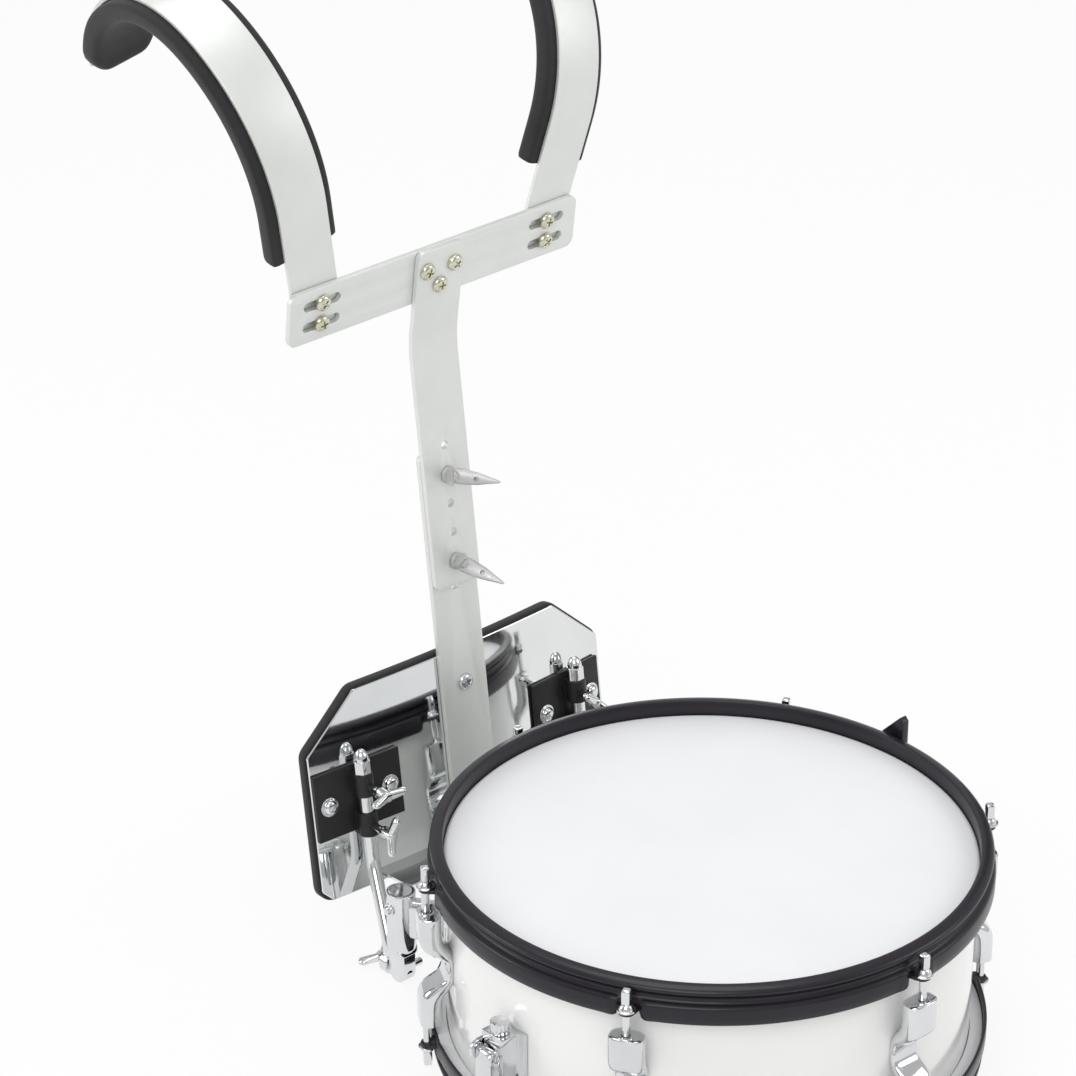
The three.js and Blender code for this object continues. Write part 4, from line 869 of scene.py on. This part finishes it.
# Wing bolts, clamps, receivers and rods
def wing_made(hub, neck, height, root, span, lift, shank_length):
    """Wing bolt along +Z: a turned hub, and two cast ears that thin towards their round tips."""
    shank, web, tip = 3, 4.6, 4.0
    parts = [lathe([(0, -shank_length), (shank - 0.4, -shank_length), (shank, -shank_length + 0.5),
                    (shank, 0.0), (hub - 0.5, 0.0), (hub, 0.5), (hub, height * 0.25),
                    (neck + (hub - neck) * 0.4, height * 0.6), (neck, height - 0.8), (neck - 0.7, height),
                    (0, height + 0.1)], 28)]
    tip_z = height + lift - tip
    root_z = (root + height) / 2
    for side in (-1, 1):
        rings = []
        for k in range(15):
            t = k / 14
            x = neck * 0.4 + (span - neck * 0.4) * t
            middle = root_z + (tip_z - root_z) * min(t * span / (span - tip), 1.0) ** 0.9
            half = (height - root) / 2 * (1 - t) + tip * t
            thick = (web * 0.75) * (1 - 0.35 * t)
            over = (x - (span - tip)) / tip
            if over > 0:
                half = tip * math.sqrt(max(0.02, 1 - over * over))
                middle = tip_z
                thick *= math.sqrt(max(0.05, 1 - over ** 2 * 0.9))
            ring = []
            for a in full_turn(16):
                sine = math.sin(a)
                y = thick * sine * abs(sine) ** -0.25 if abs(sine) > 1e-6 else 0.0
                ring.append(Vector((side * x, y, middle + half * math.cos(a))))
            rings.append(ring[::side])
        parts.append(loft(rings))
    return merge(parts)


def pointed_wing():
    """Wing bolt along +Z of the mast: flat ears, broad at the hub, that narrow to a point, over its nut."""
    parts = [lathe([(0, -12.5), (2.6, -12.5), (3.0, -12.0), (3.0, 0), (6.0, 0), (6.2, 0.4), (6.0, 1.6),
                    (4.9, 4.5), (3.6, 8.0), (2.6, 9.6), (0, 10.0)], 28),
             prism(circle(0, 0, 6.2, 6), -12.2, -9.2)]
    # Stations from the hub to the tip: place in X and Z, half thickness, half breadth and tilt of the section
    stations = ((0.5, 3.2, 3.0, 5.2, 0.26), (3.2, 5.6, 3.5, 5.6, 0.47), (6.0, 9.2, 2.8, 5.5, 0.63),
                (9.0, 13.4, 2.3, 5.0, 0.68), (12.0, 17.4, 2.0, 4.4, 0.68), (14.4, 20.6, 1.8, 3.5, 0.68),
                (16.6, 23.6, 1.6, 2.6, 0.68), (18.8, 26.6, 1.3, 1.8, 0.68), (20.8, 29.3, 0.9, 1.1, 0.68),
                (21.6, 30.3, 0.4, 0.5, 0.68))
    for side in (-1, 1):
        rings = []
        for x, z, half, breadth, tilt in stations:
            across = Vector((-math.cos(tilt), 0, math.sin(tilt)))
            ring = []
            for a in full_turn(16):
                p = Vector((x, 0, z)) + across * (half * math.cos(a)) + Vector((0, breadth * math.sin(a), 0))
                ring.append(Vector((side * p.x, p.y, p.z)))
            rings.append(ring)
        parts.append(loft(rings))
    return merge(parts)


def acorn_made():
    """Acorn nut, from its foot up."""
    nut = softened(circle(0, 0, 6.4, 6), 0.5, 2)
    dome = [(0, 4.0), (5.3, 4.0), (5.3, 9.3), *domed(5.3, 9.3, 8.2, 8), (0, 17.5)]
    return merge([prism(nut, 0, 9.0), lathe(dome, 32)])


def bent_path(places):
    """Path along places, with a wide bend at each one between its ends."""
    bend = 26.0
    path = [places[0]]
    for i in range(1, len(places) - 1):
        before = (places[i] - places[i - 1]).normalized()
        after = (places[i + 1] - places[i]).normalized()
        cut = bend * math.tan(before.angle(after) / 2)
        path += curve_between(places[i] - before * cut, places[i], places[i] + after * cut)
    path.append(places[-1])
    return path


receiver_angle, receiver_radius = 148.8, 218.4
eye_height = -138.5


def receiver(side, word):
    """Receiver on the shell: tube, yoke, dish, screw and foot. Returns a place on its tube's axis."""
    place = around(side * receiver_angle)
    centre = place @ Vector((receiver_radius, 0, 0))
    at = move(centre.x, centre.y, 0)
    tube_made = lathe([(0, -121), (9.0, -121), (10.0, -119.4), (10.2, -118.6), (10.2, -75.6), (9.9, -75.0),
                       (0, -75.0)], 48)
    teeth = [(10.25 - 0.5 * (k % 2), a) for k, a in enumerate(full_turn(72))]
    collar = prism([(r * math.cos(a), r * math.sin(a)) for r, a in teeth], -75.3, -74.3)
    chromed(word + "_receiver_tube", tf(merge([tube_made, collar]), at), [word + "_receiver"])

    half = 8.3
    arc = [PI + PI * k / 12 for k in range(1, 12)]
    yoke_side = [(-half, -119), (-half, -138)]
    yoke_side += [(half * math.cos(a), -138.2 + half * math.sin(a)) for a in arc]
    yoke_side += [(half, -138), (half, -119)]
    yoke = loft([[Vector((x, y, z)) for y, z in yoke_side] for x in (-5.5, 5.5)])
    cap = prism(rounded_rect(18, 16.6, 3.5), -124, -118.7)
    pin = lathe([(0, 5), (2.9, 5), (2.9, 16.2), (2.4, 17), (0, 17)], 20)
    pin = tf(pin, move(0, 0, eye_height) @ spin(-side * PI / 2, "Y"))
    chromed(word + "_receiver_yoke", tf(merge([yoke, cap, pin]), at), bevel=0.8, sharp=35)

    dish = lathe([(0, -75.0), (9.3, -75.0), (9.4, -74.2), (9.0, -73.9), (8.5, -74.1), (6.0, -74.7),
                  (3.0, -74.9), (0, -74.95)], 48)
    piece(word + "_receiver_dish", tf(dish, at), dished, "drum", "chrome")
    screw_side = lathe([(0, 0), (4.4, 0), (4.6, 0.3), (4.6, 1.9), (4.3, 2.2), (3.1, 2.2), (3.1, 4.3),
                        (2.8, 5.1), (1.8, 5.6), (0, 5.8)], 32)
    out_of_side = at @ move(side * 9.0, 0, -85.6) @ spin(side * PI / 2, "Y")
    chromed(word + "_receiver_screw", tf(screw_side, out_of_side))

    web = []
    for x, half, low, high, r in ((175.5, 15, -110, -80, 3), (182.4, 15, -110.5, -79.5, 3),
                                  (184.5, 12, -110, -80, 5), (190, 8.5, -110, -80, 6),
                                  (200, 6.6, -110, -80, 5), (212, 6.4, -110, -80, 5)):
        outline = rounded_rect(2 * half, high - low, min(r, half - 0.1), 6)
        web.append([Vector((x, y, (low + high) / 2 + z)) for y, z in outline])
    foot_rings = []
    for x, grow in ((175.6, 0), (181.8, 0), (182.6, -0.6), (182.8, -1.6)):
        outline = rounded_rect(30 + 2 * grow, 42 + 2 * grow, 14.8 + grow, 8)
        foot_rings.append([Vector((x, y, -95 + z)) for y, z in outline])
    chromed(word + "_receiver_foot", tf(merge([loft(web), loft(foot_rings)]), place))
    return centre


def rod_pressed(axis, eye_at):
    """Bent rod from its top in a clamp's axis down to its eye, round which it is pressed flat."""
    top = -11.2
    path = bent_path([axis @ Vector((0, 0, top)), axis @ Vector((0, 0, -80)), eye_at + Vector((0, 0, 12)),
                      eye_at - Vector((0, 0, 2))])
    points, faces = tube(path, 5.0, 32)
    pressed = []
    for p in points:
        near = 1 - smoothstep(((p - eye_at).length - 6) / 9)
        flat = eye_at.y + max(-3.5, min(3.5, p.y - eye_at.y))
        pressed.append(Vector((p.x, p.y * (1 - near) + flat * near, p.z)))
    disc = lathe([(3.4, -3.5), (7.4, -3.5), (8.0, -2.9), (8.0, 2.9), (7.4, 3.5), (3.4, 3.5)], 32)
    stud = lathe([(0, -2), (3, -2), (3, 8), (0, 8)], 20)
    return merge([(pressed, faces), tf(disc, move(*eye_at) @ face_on), tf(stud, axis @ move(0, 0, top))])


# Pairs of values for the left and right side: rolls and turns of the wing bolts in degrees, and places
upper_rolls, lower_rolls, eye_rolls = (9, -43), (72, 60), (-16, 16)
bolt_turns = (-6, -14)
plate_ends, bolt_places = (36, 31), (25.5, 21)
clamp_reach, rod_gap, bolt_height, acorn_foot = 98.7, 11, -31, -10.9
eye_gap, eye_bolt_gap = 12.6, 16.4
sleeve_wing = wing_made(4.4, 3.4, 13, 7.0, 14.4, 3.5, 13.7)
eye_wing = wing_made(5, 3.8, 9, 3, 14.8, 8, eye_bolt_gap + 8.3)
washer = lathe([(0, 3.2), (6.8, 3.2), (7.0, 3.5), (7.0, 4.2), (6.8, 4.5), (5.0, 4.5), (0, 4.5)], 32)
bolt_dome = lathe([(0, 4.4), (5.2, 4.4), (5.2, 6.0), *domed(5.0, 6.0, 2.5, 7), (0, 8.5)], 24)
for i, (side, word) in enumerate(SIDES):
    # Clamp on the belly plate, with its sleeves and bolts
    turn = side * clamp_reach / bend_radius
    x, y = bend_radius * math.sin(turn), bend_radius * (1 - math.cos(turn))
    station = carrier @ move(x, y, 0) @ spin(turn, "Z")
    axis = station @ move(0, -rod_gap, 0)
    bolt_turn = spin(math.radians(bolt_turns[i]) - turn, "Z")
    x0, x1 = sorted((side * plate_ends[i], -side * 36))
    plate = tf(prism([(x0, -56), (x1, -56), (x1, -6), (x0, -6)], 0.3, 3.3), face_on)
    piece(word + "_clamp_plate", tf(plate, station), clamp_black, "carrier", "black_metal",
          [word + "_rod_clamp"], bevel=0.5, sharp=35)
    sleeves = []
    for low, high in ((-28, -11.2), (-58, -40.5)):
        wall = [(5.4, low), (6.5, low), (7.0, low + 0.5), (7.0, high - 0.5), (6.5, high), (5.4, high)]
        foot = prism([(-5.4, -5.6), (5.4, -5.6), (5.4, -1.0), (-5.4, -1.0)], low, high)
        sleeves += [tf(lathe(wall, 40), axis), tf(foot, station)]
    piece(word + "_sleeves", merge(sleeves), clamp_black, "carrier", "black_metal")
    bolts = []
    for x in (side * bolt_places[i], -side * 25.5):
        bolts += [tf(made, station @ move(x, 0, bolt_height) @ face_on) for made in (washer, bolt_dome)]
    piece(word + "_clamp_bolts", merge(bolts), chrome, "carrier", "chrome")
    for level, roll, z in (("upper", upper_rolls[i], -20), ("lower", lower_rolls[i], -50)):
        node = f"{word}_{level}_sleeve_wing_bolt"
        matrix = axis @ move(0, 0, z) @ bolt_turn @ face_on @ move(0, 0, 19) @ spin(math.radians(roll), "Z")
        piece(f"{word}_{level}_wing", tf(sleeve_wing, matrix), cast_chrome, node, "chrome", [node], sharp=50)
    chromed(word + "_acorn", tf(acorn_made(), axis @ move(0, 0, acorn_foot)), [word + "_acorn_cap"], sharp=35)

    centre = receiver(side, word)
    rod = rod_pressed(axis, Vector((centre.x, centre.y + eye_gap, eye_height)))
    chromed(word + "_rod", rod, [word + "_bent_rod"])
    node = word + "_clamp_wing_bolt"
    matrix = move(centre.x, centre.y + eye_bolt_gap, eye_height) @ spin(-PI / 2, "X")
    matrix = matrix @ spin(math.radians(eye_rolls[i]), "Z")
    piece(word + "_eye_wing", tf(eye_wing, matrix), cast_chrome, node, "chrome", [node], sharp=50)

for roll, hole, node in ((-44, 0, "lower_mast_wing_bolt"), (-15, 3, "upper_mast_wing_bolt")):
    matrix = carrier @ move(0, wing_front, first_hole + hole * hole_pitch) @ face_on
    matrix = matrix @ spin(math.radians(roll), "Z")
    made = tf(pointed_wing(), matrix)
    wing = piece(node.replace("_bolt", ""), made, cast_steel, node, "chrome", [node], sharp=50)
    drills = [tf(eye_drill, move(side * 11.6, 0, 16.9) @ spin(side * -0.89, "Y")) for side in (-1, 1)]
    cut_out(wing, tf(merge(drills), matrix))


# Floor and light
def board(name, width, length, z, material):
    """Flat board of the stage, in metres."""
    mesh = bpy.data.meshes.new(name)
    x, y = width / 2, length / 2
    mesh.from_pydata([(-x, -y, z), (x, -y, z), (x, y, z), (-x, y, z)], [], [(0, 1, 2, 3)])
    mesh.update()
    mesh.materials.append(material)
    obj = bpy.data.objects.new(name, mesh)
    scene.collection.objects.link(obj)
    return obj


def floor_material():
    """White paper: it takes the object's shadow, and is nearly white to the camera and in reflections."""
    made, link, shader, new = nodes_of("floor_paper")
    fine = noise(link, new, coordinates(link, new), 60.0, 4.0)
    link(tinted(link, new, fine, (0.86, 0.86, 0.86), (0.88, 0.88, 0.88)), shader.inputs["Base Color"])
    shader.inputs["Roughness"].default_value = 0.9
    rays = new("ShaderNodeLightPath")
    either = new("ShaderNodeMath", operation="MAXIMUM")
    link(rays.outputs["Is Camera Ray"], either.inputs[0])
    link(rays.outputs["Is Glossy Ray"], either.inputs[1])
    share = new("ShaderNodeMath", operation="MULTIPLY")
    share.inputs[1].default_value = 0.88
    link(either.outputs["Value"], share.inputs[0])
    light = preset(new("ShaderNodeEmission"), {"Color": (1, 1, 1, 1), "Strength": 1.0})
    mixed = new("ShaderNodeMixShader")
    link(share.outputs["Value"], mixed.inputs["Fac"])
    link(shader.outputs["BSDF"], mixed.inputs[1])
    link(light.outputs["Emission"], mixed.inputs[2])
    link(mixed.outputs["Shader"], made.node_tree.nodes["Material Output"].inputs["Surface"])
    return made


floor_height = -0.1476
board("floor", 30.0, 30.0, floor_height, floor_material())

# The camera sees a white world, and a dimmer one lights the object and shows in its reflections.
world = bpy.data.worlds.new("studio")
scene.world = world
world.use_nodes = True
tree = world.node_tree
background = tree.nodes["Background"]
background.inputs["Color"].default_value = (1, 1, 1, 1)
rays = tree.nodes.new("ShaderNodeLightPath")
seen = tree.nodes.new("ShaderNodeMath")
seen.operation = "MAXIMUM"
tree.links.new(rays.outputs["Is Camera Ray"], seen.inputs[0])
tree.links.new(rays.outputs["Is Transmission Ray"], seen.inputs[1])
level = preset(tree.nodes.new("ShaderNodeMapRange"), {"To Min": 0.62, "To Max": 1.0})
tree.links.new(seen.outputs["Value"], level.inputs["Value"])
tree.links.new(level.outputs["Result"], background.inputs["Strength"])


def lamp(name, place, aim, size, power):
    """Square lamp at a place in metres, aimed at another."""
    data = bpy.data.lights.new(name, "AREA")
    data.shape = "RECTANGLE"
    data.size, data.size_y = size, size
    data.energy = power
    obj = bpy.data.objects.new(name, data)
    scene.collection.objects.link(obj)
    aimed(obj, Vector(place), Vector(aim) - Vector(place))


lamp("key", (-2.2, -1.4, 2.4), (0, 0.1, 0.1), 1.8, 34)
lamp("fill", (1.9, -1.7, 1.5), (0, 0.1, 0.1), 1.4, 14)
lamp("top", (0.2, 0.6, 2.8), (0, 0.1, 0), 1.6, 20)
lamp("back", (-1.7, 1.5, 0.8), (0, 0.1, 0), 0.9, 9)


def card(name, place, width):
    """Dark board that shows only in reflections, as a studio's dark edges do."""
    made, link, shader, new = nodes_of(name)
    fine = noise(link, new, coordinates(link, new), 30.0)
    dark, lighter = (0.05,) * 3, (0.055,) * 3
    link(tinted(link, new, fine, dark, lighter), shader.inputs["Base Color"])
    shader.inputs["Roughness"].default_value = 0.9
    obj = board(name, width, 1.4, 0, made)
    aimed(obj, Vector(place), Vector((0, 0, 0.1)) - Vector(place))
    for ray in ("visible_camera", "visible_diffuse", "visible_shadow", "visible_transmission"):
        setattr(obj, ray, False)


for k, (x, y, wide) in enumerate(((-0.05, -1.8, 0.2), (-1.8, 0.1, 0.3), (1.7, 0.6, 0.36), (-0.9, 1.7, 0.3))):
    card(f"card_{k}", (x, y, 0.55), wide)
